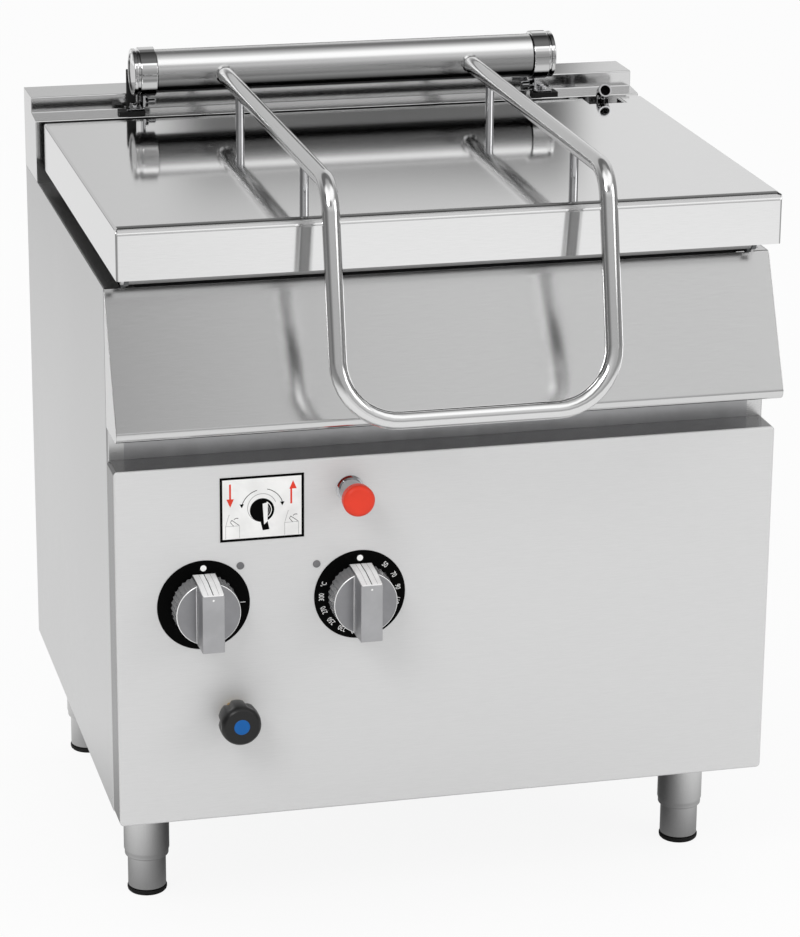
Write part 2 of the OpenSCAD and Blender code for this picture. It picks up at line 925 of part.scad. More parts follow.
// Water line from the rear inlet to the tap, and from the tap up to the spout
module water_pipe() {
    r = line_r;
    low = leg_h + 2 * flange_w;
    x = tap_at[0] - line_side;
    tap_back = panel_face - sheet_t - tap_body_l;
    front = at_b(tap_back - line_in);
    bend = line_bend;
    start = back_recess + sheet_t + nut_t + line_start;
    rear = at_b(start + 2 * bend);
    color([0.72, 0.45, 0.30])
        swept(bent_line([[inlet_x, at_b(start), inlet_z], [inlet_x, rear, inlet_z],
                         [inlet_x, rear, low], [x, rear, low], [x, front, low],
                         [x, front, tap_at[1]], [x, at_b(tap_back), tap_at[1]]],
                        [bend, bend, bend, bend, bend]), r, sides = 12);
}

// Spout: a chrome tube that rises through the lid's notch and bends to the front
module water_spout() {
    base = side_top - 3 * flange_w;
    arm = bracket_t;
    bend_share = 1.1;
    mouth = [notch_x, at_b(spout_b + spout_reach), lid_top + spout_rise];
    corner = [notch_x, at_b(spout_b), lid_top + spout_turn];
    color([0.80, 0.80, 0.82]) {
        swept(bent_line([[notch_x, at_b(spout_b), base], corner, mouth], [pipe_r * bend_share]),
              pipe_r, pipe_bore);
        translate([notch_x - pipe_r, at_b(spout_b - pipe_r), side_top + arm])
            cube([2 * pipe_r, spout_b - pipe_r - stand_d - ledge_d, arm]);
    }
}

// Cable gland and water inlet on the recessed back panel
module cable_gland() {
    neck_share = 0.8;
    hole_share = 1.4;
    color([0.10, 0.10, 0.10])
        facing([gland_x, gland_z], back_recess)
            difference() {
                union() {
                    mirror([0, 0, 1]) {
                        cylinder(r = gland_r, h = nut_t + over, $fn = 6);
                        cylinder(r = gland_r * neck_share, h = boss_len);
                    }
                    translate([0, 0, sheet_t])
                        cylinder(r = gland_r, h = nut_t + over, $fn = 6);
                    cylinder(r = gland_bore, h = sheet_t);
                }
                translate([0, 0, -boss_len - over])
                    cylinder(r = gland_bore / hole_share,
                             h = boss_len + sheet_t + nut_t + 3 * over);
            }
}

// Threaded water inlet with its lock nut
module water_inlet() {
    nut_share = 1.5;
    color([0.72, 0.60, 0.34])
        facing([inlet_x, inlet_z], back_recess)
            union() {
                mirror([0, 0, 1])
                    cylinder(r = inlet_r, h = boss_len);
                cylinder(r = inlet_neck, h = sheet_t);
                translate([0, 0, sheet_t])
                    cylinder(r = inlet_r * nut_share, h = nut_t, $fn = 6);
            }
}

// Lift drive: a gear box with its motor and the guide tube of the lift rod
module actuator_motor() {
    guide_r = lift_r + guide_t;
    floor_z = leg_h + sheet_t;
    guide_l = lift_top - floor_z - lift_out;
    color([0.35, 0.36, 0.38])
        translate([0, at_b(lift_b), floor_z])
            difference() {
                union() {
                    translate([-drive_l / 2, -drive_l / 2, 0])
                        cube([drive_w, drive_l, drive_h]);
                    cylinder(r = guide_r, h = guide_l);
                    translate([drive_w - drive_l / 2 + motor_r, 0, 0])
                        cylinder(r = motor_r, h = motor_l);
                }
                translate([0, 0, drive_h / 4])
                    cylinder(r = lift_r + run, h = guide_l);
            }
}

// Lift rod with its roller head, which raises the back of the pan
module actuator_rod() {
    low = leg_h + sheet_t + lift_foot;
    head_share = 1.4;
    color([0.70, 0.71, 0.73])
        translate([0, at_b(lift_b), low]) {
            cylinder(r = lift_r, h = lift_top - low);
            translate([0, 0, lift_top - lift_head - low])
                cylinder(r = lift_r * head_share, h = lift_head);
        }
}

// Plate inside the cabinet that carries the power parts
module component_plate() {
    color([0.66, 0.66, 0.67])
        translate([plate_x, at_b(plate_b), leg_h + sheet_t]) {
            cube([comp_w, 2 * sheet_t, comp_h]);
            cube([comp_w, flange_w, 2 * sheet_t]);
        }
}

module power_contactor() {
    high_share = 0.55;
    color([0.18, 0.18, 0.20])
        for (i = [0, 1])
            translate([plate_x + flange_w + i * (relay_w + relay_gap), at_b(plate_b) - relay_l,
                       leg_h + comp_h * high_share]) {
                cube([relay_w, relay_l, relay_h]);
                translate([relay_edge, -relay_cap, 2 * relay_edge])
                    cube([relay_w - 2 * relay_edge, relay_cap, relay_h - 4 * relay_edge]);
            }
}

module terminal_block() {
    ways = 5;
    low_share = 0.2;
    color([0.88, 0.87, 0.82])
        translate([plate_x + flange_w, at_b(plate_b) - way_l, leg_h + comp_h * low_share])
            difference() {
                cube([ways * way_w, way_l, way_h]);
                for (i = [0 : ways - 1])
                    translate([(i + 0.5) * way_w, -over, way_h / 2])
                        rotate([-90, 0, 0])
                            cylinder(r = way_r, h = way_w);
            }
}

// Outline of the basin's side, moved in by t: [distance from rear, height, radius]
function basin_side(t, top) = rounded([
    [at_b(pan_back + rim_w + t), top, 0],
    [at_b(pan_back + rim_w + wall_slope + t), basin_floor + t, basin_r - t],
    [at_b(pivot_b - lip_w - front_slope - t / 2), basin_floor + t, basin_r - t],
    [at_b(pivot_b - lip_w - t), top, 0]
]);

// Basin with its rim and the rolled pouring lip, which turns about its own axis
module pan_basin() {
    color([0.66, 0.66, 0.67])
        difference() {
            union() {
                along_x(basin_w)
                    polygon(basin_side(0, rim_z));
                translate([-pan_w / 2, at_b(pivot_b), rim_z - pan_t])
                    cube([pan_w, pan_l, pan_t]);
                disc_x(r = rim_r, len = pan_w, b = pivot_b, z = pivot_z);
            }
            along_x(basin_w - 2 * pan_t)
                polygon(basin_side(pan_t, rim_z + over));
        }
}

// Thick heat-spreading plate under the basin
module pan_base_plate() {
    front = pivot_b - lip_w - front_slope - basin_r;
    back = pan_back + rim_w + wall_slope + basin_r;
    color([0.50, 0.50, 0.52])
        translate([-basin_w / 2 + basin_r, at_b(front), basin_floor - floor_t])
            cube([basin_w - 2 * basin_r, front - back, floor_t]);
}

// Straight heating rods clamped under the base plate
module heating_elements() {
    rods = 6;
    rod = heater_r;
    front = pivot_b - lip_w - front_slope - basin_r;
    back = pan_back + rim_w + wall_slope + basin_r;
    step = (front - back) / rods;
    color([0.25, 0.25, 0.26])
        for (i = [0 : rods - 1])
            disc_x(r = rod, len = basin_w - 3 * basin_r, b = back + (i + 0.5) * step,
                   z = basin_floor - floor_t - rod);
}

// Outline of the insulated tray's side, moved in by t
function tray_side(t, top) = rounded([
    [at_b(pan_back + t + sheet_t), top, 0],
    [at_b(pan_back + wall_slope * 4 / 5 + t), tray_low + t, basin_r - t],
    [at_b(pivot_b - lip_w - front_slope * 3 / 5 - t), tray_low + t, basin_r - t],
    [at_b(pivot_b - lip_w + lip_w / 3 - t), top, 0]
]);

// Sheet casing under the pan, welded to the underside of its rim
module insulation_tray() {
    w = pan_w - 4 * bracket_t;
    top = rim_z - pan_t;
    color([0.58, 0.58, 0.60])
        difference() {
            along_x(w)
                polygon(tray_side(0, top));
            along_x(w - 2 * sheet_t)
                polygon(tray_side(sheet_t, top + over));
        }
}

// Pins at the ends of the pouring lip, with their retaining heads
module pan_pivot_pins() {
    color([0.72, 0.72, 0.74])
        for (side = [-1, 1])
            translate([side * pin_x, at_b(pivot_b), pivot_z])
                rotate([0, side * 90, 0]) {
                    cylinder(r = pin_r, h = bracket_t + 2 * pass + pin_head_t);
                    translate([0, 0, bracket_t + 2 * pass])
                        cylinder(r = pin_head_r, h = pin_head_t);
                }
}

// Channel under the tray that the lift rod's head pushes on
module lift_rail() {
    color([0.60, 0.60, 0.62])
        translate([-rail_w / 2, at_b(lift_b + rail_l / 2), tray_low - 2 * sheet_t])
            cube([rail_w, rail_l, 2 * sheet_t]);
}

// Shaft of the hinge line, which the lid's tube turns on
module hinge_shaft() {
    color([0.66, 0.67, 0.70])
        disc_x(r = rod_r, len = tube_len + 2 * hub_gap + 2 * collar_w - 2 * pass,
               b = tube_b, z = tube_z);
}

// Hinge tube: a hollow tube with a bush at each end
module hinge_tube() {
    color([0.74, 0.74, 0.76])
        difference() {
            disc_x(r = tube_r, len = tube_len, b = tube_b, z = tube_z);
            disc_x(r = tube_r - tube_t, len = tube_len - 2 * bush_len, b = tube_b, z = tube_z);
            disc_x(r = rod_r + run, len = tube_len + 2 * over, b = tube_b, z = tube_z);
        }
}

// Lid: a folded cover with a deep front skirt, side skirts and a short rear one
module lid_shell() {
    t = sheet_t;
    side_w = lid_w - 2 * t;
    color([0.84, 0.84, 0.85])
        difference() {
            along_x(lid_w)
                polygon(rounded([
                    [at_b(lid_back), lid_low, 0], [at_b(lid_back), lid_top, fold_r],
                    [at_b(lid_front), lid_top, lid_bend], [at_b(lid_front), lid_low, 0]
                ]));
            along_x(side_w)
                polygon(rounded([
                    [at_b(lid_back + t), lid_low + t, 0],
                    [at_b(lid_back + t), lid_top - t, fold_r - t],
                    [at_b(lid_front - t), lid_top - t, lid_bend - t],
                    [at_b(lid_front - t), lid_low + t, 0]
                ]));
            along_x(side_w - 2 * lid_hem)
                polygon([
                    [at_b(lid_back - over), lid_low - over],
                    [at_b(lid_back - over), lid_low + 2 * t],
                    [at_b(lid_front - lid_hem), lid_low + 2 * t],
                    [at_b(lid_front - lid_hem), lid_low - over]
                ]);
            along_x(side_w)
                polygon([
                    [at_b(lid_back - over), lid_low - over],
                    [at_b(lid_back - over), lid_top - rear_skirt],
                    [at_b(lid_back + 2 * t), lid_top - rear_skirt],
                    [at_b(lid_back + 2 * t), lid_low - over]
                ]);
            translate([notch_x - notch_w / 2, at_b(lid_back + notch_l),
                       lid_top - rear_skirt - over])
                cube([notch_w, notch_l + over, rear_skirt + 2 * over]);
        }
}

// Handle: one bent tube, from the hinge tube over the lid and down to the grip
module lid_handle() {
    start = tube_b + tube_r - bar_r;
    x = arm_span / 2;
    pts = [
        [-x, at_b(start), arm_z], [-x, at_b(bend_b), arm_z], [-x, at_b(grip_b), grip_z],
        [x, at_b(grip_b), grip_z], [x, at_b(bend_b), arm_z], [x, at_b(start), arm_z]
    ];
    color([0.74, 0.74, 0.76])
        difference() {
            swept(bent_line(pts, [bend_r, grip_r, grip_r, bend_r]), bar_r, sides = 24);
            disc_x(r = tube_r, len = body_w, b = tube_b, z = tube_z);
        }
}

// Posts between the lid and the handle's arms
module lid_posts() {
    color([0.78, 0.78, 0.80])
        for (side = [-1, 1], b = [post_back, post_front])
            difference() {
                translate([side * arm_span / 2, at_b(b), lid_top])
                    cylinder(r = post_r, h = arm_z - lid_top);
                disc_y(bar_r, side * arm_span / 2, arm_z);
            }
}

// Cutter along the depth at a place on x and z
module disc_y(r, x, z) {
    translate([x, 0, z])
        rotate([90, 0, 0])
            cylinder(r = r, h = 2 * body_d, center = true);
}

// One spring of the lid's balance: a coil on the hinge shaft
module coil(mid_r, wire_r, length, turns, rings = 8, sides = 6) {
    n = rings * turns;
    pts = [for (i = [0 : n], k = [0 : sides - 1])
        let (a = 360 * i / rings, q = 360 * k / sides, r = mid_r + wire_r * cos(q))
        [length * i / n + wire_r * sin(q), r * cos(a), r * sin(a)]];
    faces = concat(
        [[for (k = [0 : sides - 1]) k]],
        [[for (k = [sides - 1 : -1 : 0]) n * sides + k]],
        [for (i = [0 : n - 1], k = [0 : sides - 1])
            let (k2 = (k + 1) % sides)
            [i * sides + k, (i + 1) * sides + k, (i + 1) * sides + k2]],
        [for (i = [0 : n - 1], k = [0 : sides - 1])
            let (k2 = (k + 1) % sides)
            [i * sides + k, (i + 1) * sides + k2, i * sides + k2]]
    );
    polyhedron(points = pts, faces = faces);
}

module lid_springs() {
    wire = spring_wire;
    rings = 8;
    turns = 12;
    mid = (rod_r + pass + wire) / cos(180 / rings);
    start = spring_start;
    length = tube_len / 2 - 2 * start;
    color([0.35, 0.35, 0.37])
        for (side = [-1, 1])
            translate([side > 0 ? start : -start - length, at_b(tube_b), tube_z])
                coil(mid, wire, length, turns, rings);
}

translate([0, back_y, 0]) {
    left_side_panel();
    right_side_panel();
    back_panel();
    bottom_panel();
    front_rail();
    control_panel();
    front_hood();
    rear_upstand();
    pivot_brackets();
    leg_sleeves();
    hinge_brackets();
    bracket_pads();
    bracket_bolts();
    hinge_collars();
    switch_dial();
    thermostat_dial();
    indicator_lamps();
    instruction_plate();
    button_bezel();
    tap_body();
    water_pipe();
    water_inlet();
    water_spout();
    cable_gland();
    actuator_motor();
    power_contactor();
    terminal_block();
    component_plate();
    switch_body();
    thermostat_body();
    foot_front_left();
    foot_front_right();
    foot_rear_left();
    foot_rear_right();
    pad_front_left();
    pad_front_right();
    pad_rear_left();
    pad_rear_right();
    pan_basin();
    pan_base_plate();
    heating_elements();
    insulation_tray();
    pan_pivot_pins();
    lift_rail();
    actuator_rod();
    hinge_shaft();
    lid_shell();
    hinge_tube();
    lid_handle();
    lid_posts();
    lid_springs();
    switch_knob();
    thermostat_knob();
    button_stem();
    button_head();
    tap_knob();
    tap_disc();
}
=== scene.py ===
"""Looks of the tilting bratt pan: camera, light, materials and the dressed pieces."""

import json
import math

import bmesh
import bpy
import numpy as np
from mathutils import Matrix, Vector


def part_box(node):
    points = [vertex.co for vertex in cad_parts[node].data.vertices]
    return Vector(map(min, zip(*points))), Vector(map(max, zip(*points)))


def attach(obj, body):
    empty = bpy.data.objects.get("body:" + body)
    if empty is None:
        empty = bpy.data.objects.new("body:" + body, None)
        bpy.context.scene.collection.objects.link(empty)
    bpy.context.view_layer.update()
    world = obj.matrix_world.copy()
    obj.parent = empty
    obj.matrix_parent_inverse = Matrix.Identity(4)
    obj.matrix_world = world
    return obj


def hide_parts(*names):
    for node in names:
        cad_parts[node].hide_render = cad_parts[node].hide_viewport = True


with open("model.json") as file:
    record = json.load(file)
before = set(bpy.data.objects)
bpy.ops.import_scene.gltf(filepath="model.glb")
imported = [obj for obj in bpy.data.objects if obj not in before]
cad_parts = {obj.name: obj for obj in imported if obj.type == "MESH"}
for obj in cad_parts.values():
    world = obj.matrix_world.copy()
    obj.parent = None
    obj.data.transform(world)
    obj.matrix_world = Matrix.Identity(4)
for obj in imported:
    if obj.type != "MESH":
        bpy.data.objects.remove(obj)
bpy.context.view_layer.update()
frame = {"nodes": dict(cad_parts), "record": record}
MM = 0.001


def mm(*sizes):
    """Sizes given in millimetres, in metres."""
    return [size * MM for size in sizes]


def show(name, data):
    """A new object with that data, in the scene."""
    item = bpy.data.objects.new(name, data)
    bpy.context.scene.collection.objects.link(item)
    return item


# The camera, fitted to corners of the photo. The focal length is in the photo's pixels.
PICTURE_H = 937
FOCAL = 3471.8
SENSOR = 36.0
CAMERA_AT = (-0.998, -3.9961, 1.8611)
AZIMUTH = math.radians(-14.09)
ELEVATION = math.radians(18.521)
ROLL = math.radians(0.453)
FAR_END = 50


def add_camera():
    """The photo's camera, from its place, direction and focal length."""
    flat = math.cos(ELEVATION)
    back = Vector((math.sin(AZIMUTH) * flat, -math.cos(AZIMUTH) * flat, math.sin(ELEVATION)))
    right = Vector((0, 0, 1)).cross(back).normalized()
    up = back.cross(right)
    c, s = math.cos(ROLL), math.sin(ROLL)
    right, up = c * right + s * up, c * up - s * right
    data = bpy.data.cameras.new("photo_camera")
    data.sensor_width = SENSOR
    data.lens = FOCAL / PICTURE_H * SENSOR
    data.clip_end = FAR_END
    camera = show("photo_camera", data)
    turn = Matrix((right, up, back)).transposed().to_4x4()
    camera.matrix_world = Matrix.Translation(CAMERA_AT) @ turn
    bpy.context.scene.camera = camera


add_camera()
bpy.context.scene.view_settings.view_transform = "Standard"


class Field:
    """A value in a node tree; sums and products of fields add Math nodes."""

    def __init__(self, tree, socket=None):
        self.tree, self.socket = tree, socket

    def make(self, kind, settings=None, **inputs):
        """Adds one shader node: its settings first, then its inputs by name or place."""
        node = self.tree.nodes.new("ShaderNode" + kind)
        for key, value in (settings or {}).items():
            setattr(node, key, value)
        for key, value in inputs.items():
            key = int(key[1:]) if key[0] == "_" else key.replace("_", " ")
            if isinstance(value, Field):
                self.tree.links.new(value.socket, node.inputs[key])
            else:
                node.inputs[key].default_value = value
        return node

    def field(self, socket):
        return Field(self.tree, socket)

    def math(self, operation, *values):
        settings = {"operation": operation}
        inputs = {f"_{i}": v for i, v in enumerate(values)}
        return self.field(self.make("Math", settings, **inputs).outputs[0])

    def __add__(self, other):
        return self.math("ADD", self, other)

    def __radd__(self, other):
        return self.math("ADD", other, self)

    def __sub__(self, other):
        return self.math("SUBTRACT", self, other)

    def __rsub__(self, other):
        return self.math("SUBTRACT", other, self)

    def __mul__(self, other):
        return self.math("MULTIPLY", self, other)

    def __rmul__(self, other):
        return self.math("MULTIPLY", other, self)

    def step(self, low, high, start=0.0, end=1.0):
        """Smoothly from start at low to end at high."""
        smooth = {"interpolation_type": "SMOOTHSTEP"}
        node = self.make("MapRange", smooth, _0=self, _1=low, _2=high, _3=start, _4=end)
        return self.field(node.outputs[0])

    def mix(self, low, high):
        """The colour low where this field is 0 and high where it is 1."""
        node = self.make("Mix", {"data_type": "RGBA"}, _0=self, _6=low, _7=high)
        return self.field(node.outputs[2])

    def spot(self, kind):
        """The shaded point's coordinates of that kind."""
        return self.field(self.make("TexCoord").outputs[kind])

    def axes(self, kind):
        """Those coordinates apart, as x, y and z."""
        split = self.make("SeparateXYZ", _0=self.spot(kind))
        return [self.field(socket) for socket in split.outputs]

    def ray(self, kind):
        """1 for light rays of that kind, and 0 for others."""
        return self.field(self.make("LightPath").outputs[f"Is {kind} Ray"])

    def end(self, kind, shader):
        """Ends the tree with an output of that kind."""
        self.tree.links.new(shader.outputs[0], self.make(kind).inputs[0])


def blank(owner):
    """The emptied node tree of a world or material, as a field that starts its maths."""
    owner.use_nodes = True
    owner.node_tree.nodes.clear()
    return Field(owner.node_tree)


def fades(axes, rows):
    """A product of steps up to 1: each row is (axis, from, to, level at the start)."""
    product = 1.0
    for axis, start, end, level in rows:
        product = product * axes[axis].step(start, end, level)
    return product


def bands(height, level, rows):
    """A level, and soft changes to it with height: each row is (change, from, to)."""
    for change, start, end in rows:
        level = level + change * height.step(start, end)
    return level


# The room that metal mirrors, over the directions x, y and z: grey bands by height ahead of
# and behind the part, darker sides, a dark screen ahead and a dark wall behind.
AHEAD = (0.52, ((0.42, -0.03, -0.22), (0.28, 0.08, 0.45), (0.55, 0.54, 0.72), (-0.65, 0.9, 1)))
BEHIND = (0.8, ((-0.58, 0.58, 0.74), (0.42, 0.9, 1)))
AHEAD_AT, BEHIND_AT = -0.15, 0.15
SIDES = ((0, -0.95, -0.55, 0.35), (0, 0.95, 0.6, 0.4))
BEHIND_LEFT = ((0, 0.08, 0.32, 0.76),)
SCREEN_DEPTH = 0.6
SCREEN = ((0, 0.24, 0.1, 0), (2, 0.36, 0.48, 0), (2, 0.7, 0.62, 0))
WALL_DEPTH = 0.85
WALL = ((0, 0.165, 0.185, 0), (0, 0.292, 0.278, 0), (2, 0.246, 0.229, 0))
DIFFUSE_LEVEL = 0.8
WHITE = (1, 1, 1, 1)


def set_world():
    """White for the camera, an even level for plain surfaces, and the room for metal."""
    world = bpy.data.worlds.new("studio")
    bpy.context.scene.world = world
    root = blank(world)
    axes = root.axes("Generated")
    front = axes[1].step(BEHIND_AT, AHEAD_AT)
    ahead = bands(axes[2], *AHEAD) * (1 - SCREEN_DEPTH * fades(axes, SCREEN))
    behind = bands(axes[2], *BEHIND) * fades(axes, BEHIND_LEFT)
    behind = behind * (1 - WALL_DEPTH * fades(axes, WALL))
    mirrored = (front * ahead + (1 - front) * behind) * fades(axes, SIDES)
    glossy = root.ray("Glossy")
    light = glossy * mirrored + (1 - glossy) * DIFFUSE_LEVEL
    plain = root.math("MAXIMUM", root.ray("Camera"), root.ray("Transmission"))
    total = plain + (1 - plain) * light
    shade = root.make("Background", Color=WHITE, Strength=total)
    root.end("OutputWorld", shade)


# Softboxes: name, place, size and watts. Both are turned to the middle of the part.
LAMPS = (
    ("key_softbox", (-2.2, -2.6, 3.2), 1.6, 45),
    ("fill_softbox", (2.8, -2.4, 2.0), 1.8, 20),
)
AIM = Vector((0, 0, 0.5))


def add_lamp(name, place, size, watts):
    """A square softbox at a place."""
    data = bpy.data.lights.new(name, "AREA")
    data.size = size
    data.energy = watts
    lamp = show(name, data)
    lamp.location = place
    lamp.rotation_euler = (Vector(place) - AIM).to_track_quat("Z", "Y").to_euler()
    lamp.visible_camera = False


# The floor's glow, which reflections see, is painted light: it fades to its ends, and is dimmed by
# a painted shade in one corner ahead and a painted shadow under the part.
FLOOR = 30.0
FLOOR_ENDS = ((1, 0.7, -0.5, 0.85), (0, -2.4, -1.0, 0.15), (0, 3.2, 1.8, 0.25))
CORNER_SHADE_DEPTH = 0.18
CORNER_PAINTED_SHADE = ((0, 0.7, -0.4, 0), (1, -1.6, -2.6, 0))
UNDER_PAINTED_SHADOW = (0.03, 0.42, 0.05)
CAMERA_GLOW, MIRROR_GLOW = 0.9, 0.75
FLOOR_PAINT = (0.88, 0.88, 0.88, 1)


def add_floor():
    """A pale floor: nearly white to the camera, lit and shaded for diffuse rays, and for
    reflections mostly a glow with painted light and a painted shadow under the part.
    """
    mesh = bpy.data.meshes.new("floor")
    corners = FLOOR * np.array([(-1, -1, 0), (1, -1, 0), (1, 1, 0), (-1, 1, 0)])
    mesh.from_pydata(corners.tolist(), [], [(0, 1, 2, 3)])
    material = bpy.data.materials.new("pale_floor")
    root = blank(material)
    axes = root.axes("Object")
    x, y = axes[:2]
    seen = root.math("MAXIMUM", root.ray("Camera"), root.ray("Transmission"))
    # The glow is painted light: it fades to the floor's ends, and one corner ahead is dimmed as
    # painted shade.
    glow = fades(axes, FLOOR_ENDS) * (1 - CORNER_SHADE_DEPTH * fades(axes, CORNER_PAINTED_SHADE))
    # The glow fades almost to nothing under the part: a painted shadow.
    glow = glow * (x * x + y * y).step(*UNDER_PAINTED_SHADOW)
    light = root.make("Emission", Color=WHITE, Strength=seen + (1 - seen) * glow)
    paint = root.make("BsdfDiffuse", Color=FLOOR_PAINT)
    share = CAMERA_GLOW * seen + MIRROR_GLOW * root.ray("Glossy")
    mixed = root.make("MixShader", _0=share)
    root.tree.links.new(paint.outputs[0], mixed.inputs[1])
    root.tree.links.new(light.outputs[0], mixed.inputs[2])
    root.end("OutputMaterial", mixed)
    mesh.materials.append(material)
    show("floor", mesh)


set_world()
add_floor()
for lamp_row in LAMPS:
    add_lamp(*lamp_row)


def grey(tone):
    return (tone, tone, tone, 1)


def mid(node):
    """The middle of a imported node's box."""
    low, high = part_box(node)
    return (low + high) / 2


def round_box(node):
    """The box of a round node, its middle, and its radius across x."""
    low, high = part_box(node)
    return low, high, (low + high) / 2, (high.x - low.x) / 2


SHEET_GRAIN, LEG_GRAIN = (1, 40, 40), (40, 40, 1)
GRAIN_SCALE = 60
GRAIN_DEPTH = 0.0004 * MM
DRIFT_SCALE, DRIFT = 2.2, 0.05
CLOUD_SCALE, CLOUD_DRIFT = 35, 0.12
PORE_SCALE = 900
STEEL_BLUE = 1.005


class Finish(Field):
    """A material with one Principled shader."""

    def __init__(self, name, colour, rough, metal=0.0):
        self.material = bpy.data.materials.new(name)
        super().__init__(blank(self.material).tree)
        self.body = self.make(
            "BsdfPrincipled", Base_Color=(*colour, 1), Roughness=rough, Metallic=metal
        )
        self.end("OutputMaterial", self.body)
        self.material.diffuse_color = (*colour, 1)

    def put(self, name, value):
        self.tree.links.new(value.socket, self.body.inputs[name])

    def noise(self, scale, detail=2.0, stretch=(1, 1, 1)):
        """Noise over the object's own space, squeezed by stretch, from 0 to 1."""
        place = self.make("Mapping", Vector=self.spot("Object"), Scale=stretch)
        at = self.field(place.outputs[0])
        node = self.make("TexNoise", Vector=at, Scale=scale, Detail=detail)
        return self.field(node.outputs[0])

    def bump(self, height, distance):
        node = self.make("Bump", Height=height, Distance=distance, Strength=1.0)
        self.put("Normal", self.field(node.outputs[0]))


def brushed(name, tone, rough, grain=SHEET_GRAIN, spread=0.05, metal=1.0):
    """Sheet steel with a fine grain: noise drawn out along the rolling direction."""
    f = Finish(name, (tone, tone, tone * STEEL_BLUE), rough, metal)
    fine = f.noise(GRAIN_SCALE, 2, grain)
    drift = DRIFT * (f.noise(DRIFT_SCALE, 2) - 0.5)
    f.put("Roughness", rough + spread * (fine - 0.5) + drift)
    low, high = tone * 0.975, min(1.0, tone * 1.02)
    f.put("Base Color", fine.step(0.25, 0.75).mix(grey(low), grey(high)))
    f.bump(fine, GRAIN_DEPTH)
    return f.material


def worn(name, colour, rough, metal=0.0, depth=0.03, gloss=0.5):
    """A plain finish whose roughness drifts a little and whose skin is faintly uneven."""
    f = Finish(name, colour, rough, metal)
    f.body.inputs["Specular IOR Level"].default_value = gloss
    cloud = f.noise(CLOUD_SCALE, 3)
    f.put("Roughness", rough + CLOUD_DRIFT * (cloud - 0.5))
    low = tuple(c * 0.93 for c in colour) + (1,)
    high = tuple(min(1.0, c * 1.06) for c in colour) + (1,)
    f.put("Base Color", cloud.step(0.3, 0.7).mix(low, high))
    f.bump(f.noise(PORE_SCALE, 2), depth * MM)
    return f.material


LID_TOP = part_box("lid_shell")[1].z
LID_TURN = (LID_TOP - 7.5 * MM, LID_TOP - 0.5 * MM)
# The lid's bright tone, and the dark tone of the painted reflection along its front fold.
LID_BRIGHT, LID_PAINTED_DARK = 0.8, 0.14
LID_ROUGH, LID_SPREAD = 0.12, 0.03


def fold_painted_reflection_finish():
    """Polished sheet, its colour darkened where the lid's top turns down into its front skirt: a
    painted dark reflection.
    """
    colour = (LID_BRIGHT, LID_BRIGHT, LID_BRIGHT * STEEL_BLUE)
    f = Finish("lid_fold", colour, LID_ROUGH, metal=1.0)
    turn = f.axes("Object")[2].step(*LID_TURN)
    f.put("Base Color", turn.mix(grey(LID_BRIGHT), grey(LID_PAINTED_DARK)))
    fine = f.noise(GRAIN_SCALE, 2, SHEET_GRAIN)
    f.put("Roughness", LID_ROUGH + LID_SPREAD * (fine - 0.5))
    return f.material


# The hinge line's colour is darkened below its axis: painted shade of the lid's rear edge. The
# collars also get painted dark reflections: a dark block in front, above a dimmer band.
HINGE = mid("hinge_collars")
SHADED = -20 * MM
TUBE_CLEAR, COLLAR_CLEAR = mm(16, -15)
HINGE_PAINTED_SHADE = 0.04
COLLAR_PAINTED_BAND = ((2, HINGE.z + 9 * MM, HINGE.z + 11 * MM, 0.55),)
PAINTED_BLOCK_DEPTH = 0.92
COLLAR_PAINTED_BLOCK = (
    (2, HINGE.z + 15 * MM, HINGE.z + 16.5 * MM, 0),
    (2, HINGE.z + 28.5 * MM, HINGE.z + 27 * MM, 0),
    (1, HINGE.y - 0.25 * MM, HINGE.y - 4.25 * MM, 0),
)


def hinge_painted_light_finish(name, tone, rough, clear, depth=0.0, collar=False):
    """Steel of the hinge line: darkened by painted shade low down, and bright from the height clear
    over its axis.
    """
    f = Finish(name, (tone, tone, tone * STEEL_BLUE), rough, metal=1.0)
    fine = f.noise(GRAIN_SCALE, 2, SHEET_GRAIN)
    f.put("Roughness", rough + 0.3 * rough * (fine - 0.5))
    axes = f.axes("Object")
    # Painted shade: the colour darkens below the axis.
    level = axes[2].step(HINGE.z + SHADED, HINGE.z + clear)
    # On the collars, a dimmer band and a dark block in front are painted reflections.
    if collar:
        block = PAINTED_BLOCK_DEPTH * fades(axes, COLLAR_PAINTED_BLOCK)
        level = level * fades(axes, COLLAR_PAINTED_BAND) * (1 - block)
    f.put("Base Color", level.mix(grey(HINGE_PAINTED_SHADE), grey(tone)))
    f.bump(fine, depth)
    return f.material


